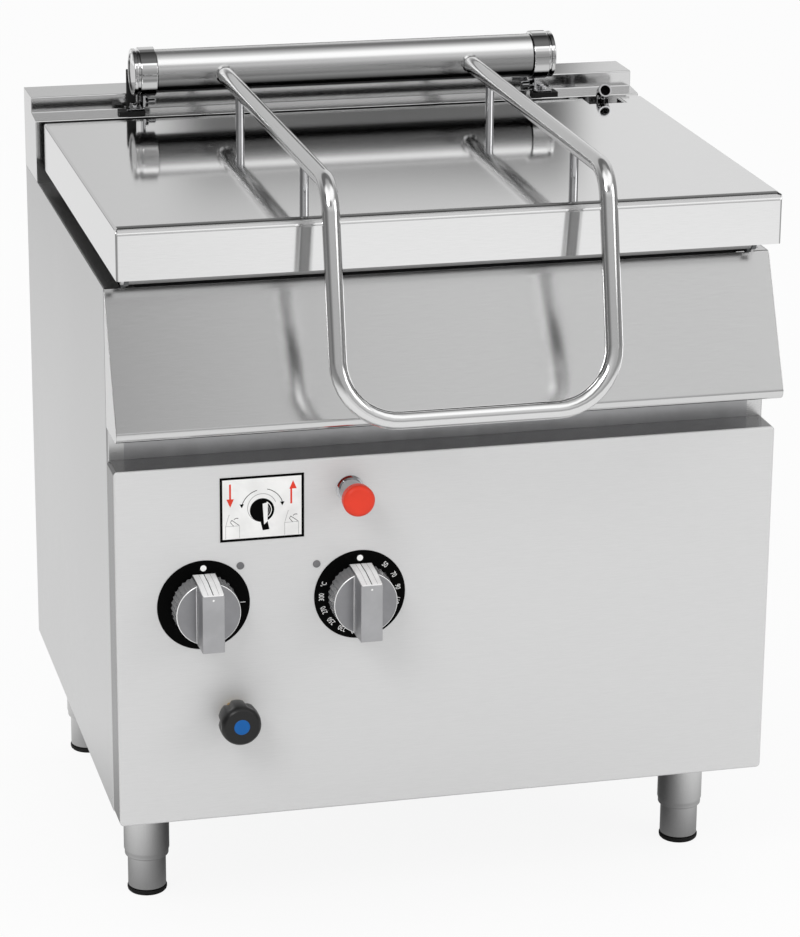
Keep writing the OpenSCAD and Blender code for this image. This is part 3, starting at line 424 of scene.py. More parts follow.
# Plain finishes: colour, roughness, metal, depth of the pores in mm, and gloss.
PLAIN = {
    "plain_steel": ((0.5, 0.5, 0.51), 0.38, 1.0),
    "chrome": ((0.56, 0.56, 0.57), 0.05, 1.0, 0.001),
    "black_rubber": ((0.01, 0.01, 0.01), 0.62, 0.0, 0.03, 0.25),
    "black_plastic": ((0.01, 0.01, 0.01), 0.3, 0.0, 0.03, 0.3),
    "dial_black": ((0.0012, 0.0012, 0.0012), 0.4, 0.0, 0.03, 0.03),
    "knob_grey": ((0.42, 0.42, 0.43), 0.34, 1.0, 0.01),
    "knob_flank": ((0.6, 0.6, 0.61), 0.22, 0.65, 0.003),
    "knob_face": ((0.27, 0.27, 0.28), 0.3, 1.0, 0.01),
    # A near-white, barely metallic copy of the knob's steel: painted highlight on its edges and
    # along the grip's top.
    "knob_edge": ((0.9, 0.9, 0.9), 0.3, 0.15, 0.003),
    "sleeve_chrome": ((0.46, 0.46, 0.47), 0.03, 1.0, 0.0005),
    "lamp_grey": ((0.16, 0.16, 0.165), 0.22, 0.0, 0.03, 0.3),
    "plate_white": ((0.84, 0.84, 0.83), 0.35, 0.0, 0.03, 0.3),
    "signal_red": ((0.72, 0.045, 0.02), 0.38, 0.0, 0.03, 0.25),
    "tap_blue": ((0.006, 0.105, 0.36), 0.35, 0.0, 0.03, 0.2),
    "brass": ((0.62, 0.44, 0.18), 0.3, 1.0),
    "copper_pipe": ((0.72, 0.38, 0.24), 0.28, 1.0),
    "cast_grey": ((0.1, 0.105, 0.11), 0.45),
    "cream_plastic": ((0.7, 0.67, 0.58), 0.4),
    "heater_dark": ((0.05, 0.05, 0.052), 0.5, 0.6),
    "tray_grey": ((0.045, 0.045, 0.046), 0.55, 0.0, 0.03, 0.3),
    "mark_white": ((0.86, 0.86, 0.85), 0.45),
    "print_grey": ((0.38, 0.38, 0.38), 0.5),
}
MATERIALS = {name: worn(name, *row) for name, row in PLAIN.items()}
MATERIALS |= {
    "brushed_steel": brushed("brushed_steel_sheet", 0.66, 0.28),
    "polished_steel": brushed("polished_lid_sheet", LID_BRIGHT, 0.07, spread=0.02),
    # The hinge tube's steel carries painted shade low down, and the collars' chrome painted
    # reflections as well.
    "tube_steel": hinge_painted_light_finish("brushed_tube_painted_shade", 0.74, 0.2, TUBE_CLEAR, GRAIN_DEPTH),
    "leg_steel": brushed("leg_steel", 0.6, 0.1, LEG_GRAIN),
    "collar_chrome": hinge_painted_light_finish("collar_chrome", 0.9, 0.04, COLLAR_CLEAR, collar=True),
    "handle_steel": brushed("handle_bar", 0.72, 0.12, spread=0.04),
    # The pan's steel is toned far darker than the other sheet: painted shade for the dark gap under
    # the lid.
    "pan_steel": brushed("pan_steel", 0.3, 0.42),
    "panel_steel": brushed("panel_sheet", 0.67, 0.5, metal=0.3),
    # The tray's side walls get a far darker copy of the panel's steel: painted shade.
    "panel_wall": brushed("panel_wall", 0.2, 0.25),
    "hood_steel": brushed("hood_sheet", 0.66, 0.15, spread=0.03),
    "lid_fold": fold_painted_reflection_finish(),
    "bright_sheet": brushed("upstand_sheet", 0.68, 0.12, spread=0.04),
}
# The casing has a finish of its own, and these dressed finishes go by the record's names.
NODE_FINISH = {"insulation_tray": "tray_grey"}


def paint_frame():
    """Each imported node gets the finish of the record's material that covers it."""
    for row in frame["record"]["subparts"]:
        mesh = frame["nodes"][row["node"]].data
        mesh.materials.clear()
        mesh.materials.append(MATERIALS[NODE_FINISH.get(row["node"], row["material_slot"])])


paint_frame()


def circle(t):
    """Points of the unit circle at angles t."""
    return np.stack([np.cos(t), np.sin(t)], 1)


def around(count):
    """So many angles once around."""
    return np.linspace(0, 2 * np.pi, count, endpoint=False)


def quarter(steps):
    """How far in and how far down a rounded edge of radius 1 lies, from its face to its side."""
    return 1 - circle(np.linspace(0, np.pi / 2, steps + 1))[:, ::-1]


def arc(centre, radius, start, end, steps=8):
    """Points of an arc in a plane, from angle start to end in degrees."""
    return np.array(centre) + radius * circle(np.radians(np.linspace(start, end, steps + 1)))


def unit(way):
    """Vectors made one long, one for each row."""
    return way / np.linalg.norm(way, axis=-1, keepdims=True)


def left_of(way):
    """Plane vectors turned a quarter to the left."""
    return np.stack([-way[:, 1], way[:, 0]], 1)


def rounded(corners, steps=6):
    """A closed outline from corners (x, y, radius), each turned on its own radius."""
    points = []
    places = np.array([c[:2] for c in corners], float)
    for i, here in enumerate(places):
        radius = corners[i][2]
        if radius == 0:
            points.append(here[None])
            continue
        a = unit(places[i - 1] - here)
        b = unit(places[(i + 1) % len(corners)] - here)
        half = math.acos(float(np.clip(a @ b, -1, 1))) / 2
        middle = here + unit(a + b) * radius / math.sin(half)
        ends = [here + way * radius / math.tan(half) - middle for way in (a, b)]
        start, end = (math.degrees(math.atan2(y, x)) for x, y in ends)
        turn = (end - start + 180) % 360 - 180
        points.append(arc(middle, radius, start, start + turn, steps))
    return np.concatenate(points)


def rectangle(low, high, radius=0.0, steps=6):
    """A closed rectangle between two corners, its own corners rounded."""
    (x0, y0), (x1, y1) = low, high
    corners = [(x0, y0, radius), (x1, y0, radius), (x1, y1, radius), (x0, y1, radius)]
    return rounded(corners, steps)


def inset(outline, distance):
    """The closed outline moved inward by distance, each point along its corner's bisector."""
    after = np.roll(outline, -1, 0)
    normal = left_of(unit(after - outline))
    area = np.sum(outline[:, 0] * after[:, 1] - outline[:, 1] * after[:, 0])
    before = np.roll(normal, 1, 0)
    bisector = (normal + before) / (1 + np.sum(normal * before, 1))[:, None]
    return outline + np.reshape(distance, (-1, 1)) * np.sign(area) * bisector


def lift(outline, axis, level):
    """Plane points as 3-D points at a level along axis 0, 1 or 2: one number, or one a point."""
    return np.insert(outline, axis, np.broadcast_to(level, len(outline)), axis=1)


def rings_of(outline, axis, inward, levels):
    """Rings at levels along an axis: the outline moved in by inward, one number a ring."""
    return np.stack([lift(inset(outline, d), axis, z) for d, z in zip(inward, levels)])


def prism(outline, axis, low, high, soft=0.0, steps=4):
    """Rings of a solid with that outline from low to high, its end edges rounded by soft."""
    inward, height = soft * quarter(steps if soft else 0).T
    inward = np.concatenate([inward, inward[::-1]])
    levels = np.concatenate([low + height, high - height[::-1]])
    return rings_of(outline, axis, inward, levels)


def revolve(profile, centre, axis, sides=64, way=1):
    """Rings of a solid of revolution; profile holds (radius, height along the axis) points."""
    profile = np.array(profile, float)
    flat = profile[:, 0, None, None] * circle(around(sides))
    height = np.broadcast_to(way * profile[:, 1, None, None], flat.shape[:2] + (1,))
    rings = np.concatenate([flat[..., :axis], height, flat[..., axis:]], 2)
    return rings + np.array(centre)


def forward(profile, centre, back, sides):
    """Rings of a round solid whose heights run forward from the plane y = back."""
    return revolve(profile, (centre.x, back, centre.z), 1, sides, -1)


def bend(points, radii, steps=10):
    """A path in space through corner points, each inner corner turned on its own radius."""
    points = [np.array(p, float) for p in points]
    path = [points[0][None]]
    for before, here, after, radius in zip(points, points[1:], points[2:], radii):
        a, b = unit(before - here), unit(after - here)
        half = math.acos(float(a @ b)) / 2
        middle = here + unit(a + b) * radius / math.sin(half)
        u, v = (here + way * radius / math.tan(half) - middle for way in (a, b))
        turn = np.linspace(0, math.acos(float(u @ v) / radius**2), steps + 1)[:, None]
        side = unit(v - u * (u @ v) / radius**2) * radius
        path.append(middle + u * np.cos(turn) + side * np.sin(turn))
    return np.concatenate(path + [points[-1][None]])


def tube(path, radius, sides=48):
    """Rings of a round bar along a path."""
    along = unit(np.gradient(path, axis=0))
    side = np.zeros_like(along)
    start = np.eye(3)[np.argmin(np.abs(along[0]))]
    for i, t in enumerate(along):
        side[i] = start = unit(start - t * (start @ t))
    other = np.cross(along, side)
    t = around(sides)[None, :, None]
    return path[:, None] + radius * (side[:, None] * np.cos(t) + other[:, None] * np.sin(t))


def strip(path, thickness):
    """The closed outline of a sheet of that thickness, on the left of an open plane path."""
    normal = left_of(unit(np.diff(path, axis=0)))
    before = np.concatenate([normal[:1], normal])
    after = np.concatenate([normal, normal[-1:]])
    bisector = (before + after) / (1 + np.sum(before * after, 1))[:, None]
    return np.concatenate([path, (path + thickness * bisector)[::-1]])


def folded(corners):
    """An open plane path through corners (x, y, radius), whose ends stay sharp."""
    points = [(*c[:2], 0) for c in corners]
    return bend(points, [c[2] for c in corners[1:-1]], 6)[:, :2]


SAME_POINT = 1e-7
CREASE = math.radians(32)


class Piece:
    """One dressed piece: points and faces gathered skin by skin, then made a mesh."""

    def __init__(self, name):
        self.name, self.points, self.faces, self.count = name, [], [], 0
        self.slots, self.marks = [], []

    def mark(self, slot, faces):
        """The next faces take that finish."""
        if slot not in self.slots:
            self.slots.append(slot)
        self.marks += [self.slots.index(slot)] * faces

    def add(self, rings, caps=True, loop=False, slot=None):
        """Quads between successive rings; caps closes both ends, and loop joins the last ring
        to the first. Without a slot, the skin takes build's finish."""
        rings = np.asarray(rings, float)
        n, m = rings.shape[:2]
        i = np.arange(n if loop else n - 1)[:, None]
        k = np.arange(m)[None, :]
        here, there = i * m, (i + 1) % n * m
        after = (k + 1) % m
        quads = np.stack([here + k, here + after, there + after, there + k], 2).reshape(-1, 4)
        faces = (quads + self.count).tolist()
        if caps and not loop:
            first = np.arange(m) + self.count
            faces += [first[::-1].tolist(), (first + (n - 1) * m).tolist()]
        self.points.append(rings.reshape(-1, 3))
        self.faces += faces
        self.count += n * m
        if slot:
            self.mark(slot, len(faces))
        else:
            self.marks += [0] * len(faces)

    def build(self, body, slot, *nodes):
        """Makes the mesh, paints it, lets it ride on its body and stand for its nodes."""
        mesh = bpy.data.meshes.new(self.name)
        mesh.from_pydata(np.concatenate(self.points).tolist(), [], self.faces)
        for name in self.slots or [slot]:
            mesh.materials.append(MATERIALS[name])
        mesh.polygons.foreach_set("material_index", self.marks)
        solid = bmesh.new()
        solid.from_mesh(mesh)
        bmesh.ops.remove_doubles(solid, verts=solid.verts, dist=SAME_POINT)
        bmesh.ops.recalc_face_normals(solid, faces=solid.faces)
        solid.to_mesh(mesh)
        solid.free()
        mesh.polygons.foreach_set("use_smooth", [True] * len(mesh.polygons))
        mesh.set_sharp_from_angle(angle=CREASE)
        item = show(self.name, mesh)
        flat = item.modifiers.new("flat_faces", "WEIGHTED_NORMAL")
        flat.keep_sharp = True
        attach(item, body)
        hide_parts(*nodes)


def dress(name, slot, node, *skins, body="cabinet", loop=False):
    """A piece of plain skins in one finish."""
    piece = Piece(name)
    for rings in skins:
        piece.add(rings, loop=loop)
    piece.build(body, slot, node)


# The lid: its sheet, folds, rear skirt and hem, and the notch for the spout. The top's inner
# corners stop just short of a point, so that its flat face stays whole.
SHEET, FOLD, LID_FOLD = mm(1.5, 3, 8)
REAR_SKIRT, HEM = mm(20, 12)
NOTCH_X, NOTCH_W, NOTCH_L = mm(338, 46, 34)
CORNER_SHARE = 0.98


def make_lid():
    """Folded cover: a flat top, edges on a radius, skirts with a hem inside, open below. Each
    ring of the fold is the outline moved in and down along a quarter of a circle."""
    low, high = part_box("lid_shell")
    left, right = NOTCH_X - NOTCH_W / 2, NOTCH_X + NOTCH_W / 2
    corners = [(low.x, low.y, FOLD), (high.x, low.y, FOLD), (high.x, high.y, FOLD)]
    corners += [(right, high.y, 0), (right, high.y - NOTCH_L, 0)]
    corners += [(left, high.y - NOTCH_L, 0), (left, high.y, 0), (low.x, high.y, FOLD)]
    outline = rounded(corners)
    front = np.clip((low.y + FOLD - outline[:, 1]) / FOLD, 0, 1)
    radius = FOLD + (LID_FOLD - FOLD) * front
    inward = inset(outline, 1.0) - outline
    inward *= np.where(inward > 0, [FOLD, 2 * LID_FOLD], FOLD) * CORNER_SHARE
    rear = outline[:, 1] > high.y - 2 * NOTCH_L
    rear &= np.abs(outline[:, 0]) < high.x - HEM
    bottom = np.where(rear, high.z - REAR_SKIRT, low.z)
    fold = quarter(8)
    rings = [lift(outline + inward * near, 2, high.z - radius * down) for near, down in fold]
    hem = inset(outline, np.where(rear, SHEET, HEM))
    inside = inset(outline, SHEET)
    over = bottom + SHEET
    lower = (outline, bottom), (hem, bottom), (hem, over), (inside, over), (inside, high.z - SHEET)
    rings += [lift(shape, 2, level) for shape, level in lower]
    piece = Piece("lid_skin")
    piece.add(np.stack(rings))
    marks = np.zeros((len(rings) - 1, len(outline)), int)
    # The front fold's faces take the sheet with the painted dark reflection.
    marks[: len(fold) - 1, (front > 0) & (np.roll(front, -1) > 0)] = 1
    marks[len(fold) :] = 2
    piece.slots = ["polished_steel", "lid_fold", "brushed_steel"]
    piece.marks = marks.ravel().tolist() + [0, 2]
    piece.build("lid", "polished_steel", "lid_shell")


# The handle: how far ahead of its bends the grip lies, its radii, and its weld beads.
BEND_AHEAD, BEND_R, GRIP_R, BAR_R = mm(58, 38, 70, 10.5)
BEAD_L, BEAD_LIP, BEAD_H = mm(6, 2, 1.6)
POST_R = 5.5 * MM


def make_handle():
    """One bent tube, with a weld bead where each arm meets the hinge tube."""
    low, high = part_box("lid_handle")
    x, grip_y, grip_z = high.x - BAR_R, low.y + BAR_R, low.z + BAR_R
    arm_z = high.z - BAR_R
    bend_y = grip_y + BEND_AHEAD
    arm = [(-x, high.y, arm_z), (-x, bend_y, arm_z), (-x, grip_y, grip_z)]
    other = [(x, y, z) for _, y, z in arm[::-1]]
    bar = tube(bend(arm + other, [BEND_R, GRIP_R, GRIP_R, BEND_R]), BAR_R)
    bead = BAR_R + BEAD_H
    ring = [(BAR_R * 0.9, 0), (BAR_R, -BEAD_LIP), (bead, 0), (bead, BEAD_L - BEAD_LIP)]
    ring += [(BAR_R, BEAD_L)]
    beads = [revolve(ring, (end, high.y - BEAD_L, arm_z), 1, 40) for end in (-x, x)]
    dress("handle_tube", "handle_steel", "lid_handle", bar, *beads, body="lid")


def make_posts():
    """Four plain posts between the lid and the handle's arms."""
    low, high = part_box("lid_posts")
    post = [(0, low.z), (POST_R, low.z), (POST_R, high.z), (0, high.z)]
    xs, ys = ((low[i] + POST_R, high[i] - POST_R) for i in (0, 1))
    posts = [revolve(post, (x, y, 0), 2, 32) for x in xs for y in ys]
    dress("handle_posts", "chrome", "lid_posts", *posts, body="lid")


# The hinge line: the collars' band, groove and end ring, and the tube's end discs.
COLLAR_W = 21 * MM
GROOVE_W, GROOVE_DEPTH = mm(3, 3.5)
CAP_W = 5 * MM
COLLAR_BORE = 10 * MM
DISC_SHARE, BOSS_SHARE, BOSS_TOP_SHARE = 0.4, 0.82, 0.78
SOFT = 1.2 * MM


def make_hinge_tube():
    """A round tube with softened ends."""
    low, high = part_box("hinge_tube")
    radius = (high.z - low.z) / 2
    end = high.x
    profile = [(radius * DISC_SHARE, -end), (radius - SOFT / 2, -end), (radius, SOFT / 2 - end)]
    profile += [(r, -h) for r, h in profile[::-1]]
    skin = revolve(profile, mid("hinge_tube"), 0, 96)
    dress("hinge_tube_skin", "tube_steel", "hinge_tube", skin, body="lid")


def make_collars():
    """Chrome collars: a wide band, a groove, an end ring and a domed cap with a small boss."""
    low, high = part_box("hinge_collars")
    radius = (high.z - low.z) / 2
    end = high.x
    start = end - CAP_W - GROOVE_W - COLLAR_W
    groove = start + COLLAR_W
    ring_r = radius - SOFT
    neck = radius - GROOVE_DEPTH
    profile = [
        (COLLAR_BORE, start),
        *arc((ring_r, start + SOFT), SOFT, -90, 0),
        *arc((ring_r, groove - SOFT), SOFT, 0, 90),
        *[(neck, groove), (neck, groove + GROOVE_W)],
        *arc((ring_r - SOFT, end - CAP_W + SOFT), SOFT, -90, 0),
        *arc((ring_r - SOFT, end - SOFT), SOFT, 0, 90),
        *[(ring_r * BOSS_SHARE, end), (ring_r * BOSS_TOP_SHARE, end - SOFT), (0, end - SOFT)],
    ]
    skins = [revolve(profile, HINGE, 0, 96, way) for way in (-1, 1)]
    dress("collar_skins", "collar_chrome", "hinge_collars", *skins)


# Brackets, their bolts as (radius, head), and their pads. Lengths run inward from the ends.
BEVEL = 0.5 * MM
EAR_T, EAR_FOLD, EAR_SHARE = 3 * MM, 4.5 * MM, 0.3
EAR_IN = 24 * MM
FOOT_BOLT, FOOT_BOLT_OUT = (2.5 * MM, 5 * MM), 13.4 * MM
STUD, STUD_UP, STUD_L = (4 * MM, 5 * MM), 10 * MM, 15 * MM
WASHER_SHARE, HEAD_SHARE, HEX_SHARE, DOME_SHARE = 2.1, 1.75, 0.3, 0.26
PAD_IN, PAD_CORNER = mm(33, 2)
SWITCH_W, SWITCH_L, SWITCH_CORNER = mm(12, 6, 1.5)
SWITCH_IN, SWITCH_UP = mm(5, 2)


def make_brackets():
    """Angle brackets: a foot outward, a rounded fold and an ear up to the collar."""
    low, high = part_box("hinge_brackets")
    collar_low, collar_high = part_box("hinge_collars")
    top = collar_low.z + (collar_high.z - collar_low.z) / 2 * EAR_SHARE
    inner = high.x - EAR_IN
    path = folded([(high.x, low.z, 0), (inner, low.z, EAR_FOLD), (inner, top, 0)])
    outline = strip(path, -EAR_T)
    skins = [prism(outline * (side, 1), 1, low.y, high.y, BEVEL) for side in (-1, 1)]
    dress("bracket_skins", "chrome", "hinge_brackets", *skins)


def bolt(piece, place, way, radius, head, tail=0, axis=2):
    """A washer, a hexagonal head with rounded corners, and a shank that stands out by tail."""
    washer, wide = head / 4, radius * WASHER_SHARE
    piece.add(revolve([(wide, 0), (wide, washer)], place, axis, 40, way))
    inner, down = quarter(4).T
    hexagon = revolve([(radius * HEAD_SHARE, 0)], (0, 0, 0), 2, 6)[0][:, :2]
    shape = rounded([(*p, radius * HEX_SHARE) for p in hexagon], 3)
    grown = np.concatenate([[0, 0], radius * DOME_SHARE * down])
    shoulder = head - washer
    levels = np.concatenate([[washer, shoulder], shoulder + washer * (1 - inner)])
    rings = rings_of(shape, 2, grown, way * levels)
    if axis == 0:
        rings = rings[..., [2, 0, 1]]
    piece.add(rings + np.array(place))
    if tail:
        end = [(radius, 0), (radius, tail - radius / 3), (radius * 0.7, tail)]
        piece.add(revolve(end, place, axis, 32, way))


def make_bolts():
    """Two bolts on each bracket's foot, and a stud with its nut through each ear."""
    low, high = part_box("hinge_brackets")
    y = (low.y + high.y) / 2
    quarter = (high.y - low.y) / 4
    inner = high.x - EAR_IN
    piece = Piece("bracket_fasteners")
    for side in (-1, 1):
        for step in (-quarter, quarter):
            bolt(piece, (side * (inner + FOOT_BOLT_OUT), y + step, low.z + EAR_T), 1, *FOOT_BOLT)
        bolt(piece, (side * inner, y, low.z + STUD_UP), -side, *STUD, STUD_L, 0)
    piece.build("cabinet", "chrome", "bracket_bolts")


def make_pads():
    """Rubber pads with soft edges, and the slim switch housing behind the left collar."""
    low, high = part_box("bracket_pads")
    foot_low, foot_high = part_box("hinge_brackets")
    inner = high.x - PAD_IN
    skins = []
    for x0, x1 in (-high.x, -inner), (inner, high.x):
        pad = rectangle((x0, low.y), (x1, foot_high.y), PAD_CORNER)
        skins.append(prism(pad, 2, low.z, foot_low.z, BEVEL))
    left = SWITCH_IN - SWITCH_W / 2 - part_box("hinge_collars")[1].x
    corners = (left, high.y - SWITCH_L), (left + SWITCH_W, high.y)
    skins.append(prism(rectangle(*corners, SWITCH_CORNER), 2, low.z + SWITCH_UP, high.z, SOFT))
    dress("pad_skins", "black_rubber", "bracket_pads", *skins)


# Cabinet sheets. Small radii of folds and faces carry the name of what they round.
HOOD_NOSE, HOOD_RIM, HOOD_BACK = mm(10, 0.8, 4)
PANEL_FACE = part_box("control_panel")[0].y
PANEL_CORNER, PANEL_FOLD = mm(5, 2.5)
STAND_L, LEDGE_DROP, LEDGE_SLOPE = mm(65, 20, 3)
STAND_FOLDS = (2 * MM, 1.6 * MM, 1 * MM, 1.6 * MM)
FLANGE_W, FLANGE_SHORT = mm(20, 103)
SIDE_SOFT, FLANGE_SOFT = mm(0.4, 0.3)


def make_hood():
    """Slanted front: one folded sheet with a rounded nose, and two flat cheeks."""
    low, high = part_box("front_hood")
    face_y = high.y - HOOD_BACK
    cheek = [(face_y, high.z, HOOD_RIM), (low.y, low.z, HOOD_NOSE), (face_y, low.z, 0)]
    path = folded([(high.y, high.z, 0)] + cheek)
    sheet = prism(strip(path, SHEET), 0, low.x + SHEET / 2, high.x - SHEET / 2)
    ends = (low.x, high.x - SHEET)
    cheeks = [prism(rounded(cheek), 0, x, x + SHEET, BEVEL) for x in ends]
    dress("hood_sheet", "hood_steel", "front_hood", sheet, *cheeks)


def make_panel():
    """Control panel: a shallow tray, its face edges on a radius and its back open."""
    low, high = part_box("control_panel")
    outline = rectangle((low.x, low.z), (high.x, high.z), PANEL_CORNER)
    inward, back = PANEL_FOLD * quarter(6).T
    inward = np.concatenate([inward, [0, SHEET, SHEET]])
    levels = np.concatenate([low.y + back, [high.y, high.y, low.y + SHEET]])
    piece = Piece("control_panel_sheet")
    piece.add(rings_of(outline, 1, inward, levels))
    marks = np.zeros((len(levels) - 1, len(outline)), int)
    # The tray's side walls take the darker steel: painted shade.
    marks[len(back) - 1] = 1
    piece.slots = ["panel_steel", "panel_wall"]
    piece.marks = marks.ravel().tolist() + [0, 0]
    piece.build("cabinet", "panel_steel", "control_panel")


def make_upstand():
    """Rear cover: top, step and ledge with crisp folds, and flat closed ends."""
    low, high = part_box("rear_upstand")
    stand_y = high.y - STAND_L
    ledge = high.z - LEDGE_DROP
    folds = [(high.y, high.z), (stand_y, high.z), (stand_y, ledge), (low.y, ledge - LEDGE_SLOPE)]
    corners = [(*place, radius) for place, radius in zip(folds, STAND_FOLDS)]
    outline = rounded([(high.y, low.z, 0), *corners, (low.y, low.z, 0)])
    cover = prism(outline, 0, low.x, high.x, BEVEL)
    dress("upstand_sheet", "bright_sheet", "rear_upstand", cover)


def make_side(node, name, side):
    """A side sheet folded round its front and rear edges, with a flange along its top."""
    low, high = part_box(node)
    out = side * (high.x if side > 0 else -low.x)
    inner = out - side * FLANGE_W
    corners = [(inner, low.y, 0), (out, low.y, FOLD), (out, high.y, FOLD), (inner, high.y, 0)]
    sheet = prism(strip(folded(corners), side * SHEET), 2, low.z, high.z, SIDE_SOFT)
    x0, x1 = sorted((inner, out - side * SHEET))
    flange = rectangle((x0, low.y + SHEET), (x1, high.y - FLANGE_SHORT))
    flange = prism(flange, 2, high.z - SHEET, high.z, FLANGE_SOFT)
    dress(name, "brushed_steel", node, sheet, flange)


# Knobs. The flank's rows lie behind its front by back and inside its radius by inner, both in
# mm, and take that share of the flutes' depth. The grip's rows rise over the knob's edge by
# top and shrink by soft, in mm.
KNOB_BASE, KNOB_H = mm(2.5, 30)
FLUTES, FLUTE_DEPTH = 36, 1.3 * MM
FLANK = ((3.4, 0.9, 1), (2.6, 0.9, 0.15), (2.3, 1.0, 0), (0.7, 1.0, 0), (0, 1.8, 0))
GRIP_HALF, GRIP_CORNER, GRIP_LEAN, GRIP_STEP = mm(14, 0.8, 1, 1)
GRIP_FOOT, GRIP_SPREAD, GRIP_TURN = mm(0.5, 1.5, 0.3)
GRIP = ((0.3, 0), (-0.5, 0), (-4.8, 0), (-4.9, 0.3), (-5, 0.9))
# The face in each grip ring that gets the painted highlight along its top.
TOP_HIGHLIGHT_STRIP = 11
GROOVES = ((0, 0.5, "dial_black"), (-6, 0.25, "print_grey"), (7, 0.25, "print_grey"))
THIN, GROOVE_PROUD = mm(0.1, 0.05)
ROOT_W, ROOT_T, ROOT_SHARE, ROOT_OUT = 0.35 * MM, 0.15 * MM, 0.9, 0.4 * MM
KNOB_DOT = [(1.2 * MM, 0), (1.2 * MM, 0.15 * MM)]
KNOB_DOT_IN = 11 * MM
KNOB_SHAFT_R, TAP_SHAFT_R = mm(4, 5)


def make_knob(node, name, body):
    """Metal knob: a fluted flank, a plain collar at its face, and a straight grip bar whose
    ends lean in. The flank's radius is R - depth * (0.5 - 0.5 cos(36 t)) ** 0.7."""
    low, high, centre, radius = round_box(node)
    base = PANEL_FACE - KNOB_BASE
    front, tip = base - KNOB_H, low.y
    t = around(FLUTES * 10)
    wave = (0.5 - 0.5 * np.cos(FLUTES * t)) ** 0.7
    rows = [(base, 0, 1)] + [(front + back * MM, inner * MM, share) for back, inner, share in FLANK]
    flank = []
    for y, inner, share in rows:
        r = radius - inner - FLUTE_DEPTH * share * wave
        flank.append(lift((centre.x, centre.z) + r[:, None] * circle(t), 1, y))
    piece = Piece(name)
    piece.add(np.stack(flank[:-1]), caps=False, slot="knob_flank")
    # The face's rounded edge takes the painted highlight.
    piece.add(np.stack(flank[-2:]), caps=False, slot="knob_edge")
    piece.add(np.stack([flank[-1], flank[-1] + [0, THIN, 0]]), slot="knob_face")
    back, fold, drop = base - GRIP_STEP, front + GRIP_STEP, tip + GRIP_STEP
    places = (back, fold, drop, tip + GRIP_TURN, tip)
    bar = []
    for y, (top, soft) in zip(places, GRIP):
        share = (back - y) / (back - tip)
        half = GRIP_HALF - share * GRIP_LEAN - soft * MM
        foot = centre.z - radius + GRIP_FOOT + share * GRIP_SPREAD + soft * MM
        head = centre.z + radius + (top - soft) * MM
        corners = (centre.x - half, foot), (centre.x + half, head)
        bar.append(lift(rectangle(*corners, GRIP_CORNER, 3), 1, y))
    # The grip bar's top strip takes the painted highlight.
    start = len(piece.marks) + TOP_HIGHLIGHT_STRIP
    piece.add(np.stack(bar), slot="knob_grey")
    for row in range(len(bar) - 1):
        piece.marks[start + row * len(bar[0])] = piece.slots.index("knob_edge")
    edge = centre.z + radius + GROOVE_PROUD
    cut = np.array([(y, edge + row[0] * MM) for y, row in zip(places, GRIP[:3])][::-1])
    for x, wide, tint in GROOVES:
        ends = centre.x + (x - wide) * MM, centre.x + (x + wide) * MM
        piece.add(prism(strip(cut, -THIN), 0, *ends), slot=tint)
    # Thin lines beside the grip's root take the painted highlight.
    reach = radius * ROOT_SHARE
    line = strip(np.array([(front, centre.z - reach), (front, centre.z + reach)]), ROOT_T)
    for side in (-1, 1):
        x = centre.x + side * (GRIP_HALF + ROOT_OUT)
        piece.add(prism(line, 0, x - ROOT_W, x + ROOT_W), slot="knob_edge")
    mark = Vector((centre.x, tip, centre.z + radius - KNOB_DOT_IN))
    piece.add(forward(KNOB_DOT, mark, tip, 24), slot="mark_white")
    shaft = [(KNOB_SHAFT_R, 0), (KNOB_SHAFT_R, high.y - base)]
    piece.add(revolve(shaft, (centre.x, base, centre.z), 1, 24), slot="plain_steel")
    piece.build(body, "knob_grey", node)


# The letters' height in the built-in face at size 1.
TALL = 0.7


def letters(body, height, degrees, radius, squeeze=0.72):
    """Flat text, its middle on a dial's radius, clockwise from the top, and its top turned
    outward: points and faces."""
    curve = bpy.data.curves.new("figures", "FONT")
    curve.body = body
    curve.align_x = "CENTER"
    curve.size = 1.0
    curve.resolution_u = 3
    holder = bpy.data.objects.new("figures", curve)
    mesh = bpy.data.meshes.new_from_object(holder)
    flat = np.zeros(len(mesh.vertices) * 3)
    mesh.vertices.foreach_get("co", flat)
    flat = flat.reshape(-1, 3)[:, :2]
    faces = [list(p.vertices) for p in mesh.polygons]
    bpy.data.objects.remove(holder)
    bpy.data.curves.remove(curve)
    bpy.data.meshes.remove(mesh)
    flat = flat * (height / TALL)
    flat[:, 0] *= squeeze
    flat[:, 1] += radius - height / 2
    a = math.radians(degrees)
    side, out = np.array([[math.cos(a), -math.sin(a)], [math.sin(a), math.cos(a)]])
    return flat[:, :1] * side + flat[:, 1:] * out, faces


PRINT_PROUD, PRINT_STEP = mm(0.06, 0.02)


class Print(Piece):
    """Flat printed marks on the front of a node, all in one mesh; a mark of a higher level
    lies over one of a lower level."""

    def __init__(self, name, node):
        super().__init__(name)
        self.centre = mid(node)
        self.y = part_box(node)[0].y - PRINT_PROUD

    def shape(self, points, faces, slot, level=0):
        """Points and faces of one mark."""
        points = np.asarray(points, float) + np.array([self.centre.x, self.centre.z])
        self.points.append(lift(points, 1, self.y - PRINT_STEP * level))
        self.faces += [[i + self.count for i in f] for f in faces]
        self.count += len(points)
        self.mark(slot, len(faces))

    def patch(self, outline, slot, level=0):
        """One filled outline."""
        self.shape(outline, [list(range(len(outline)))], slot, level)

    def line(self, path, width, slot, level=0):
        """A line of that width along a path."""
        outline = strip(np.asarray(path, float), width)
        n = len(outline) // 2
        k = np.arange(n - 1)
        quads = np.stack([k, k + 1, 2 * n - 2 - k, 2 * n - 1 - k], 1)
        self.shape(outline, quads.tolist(), slot, level)


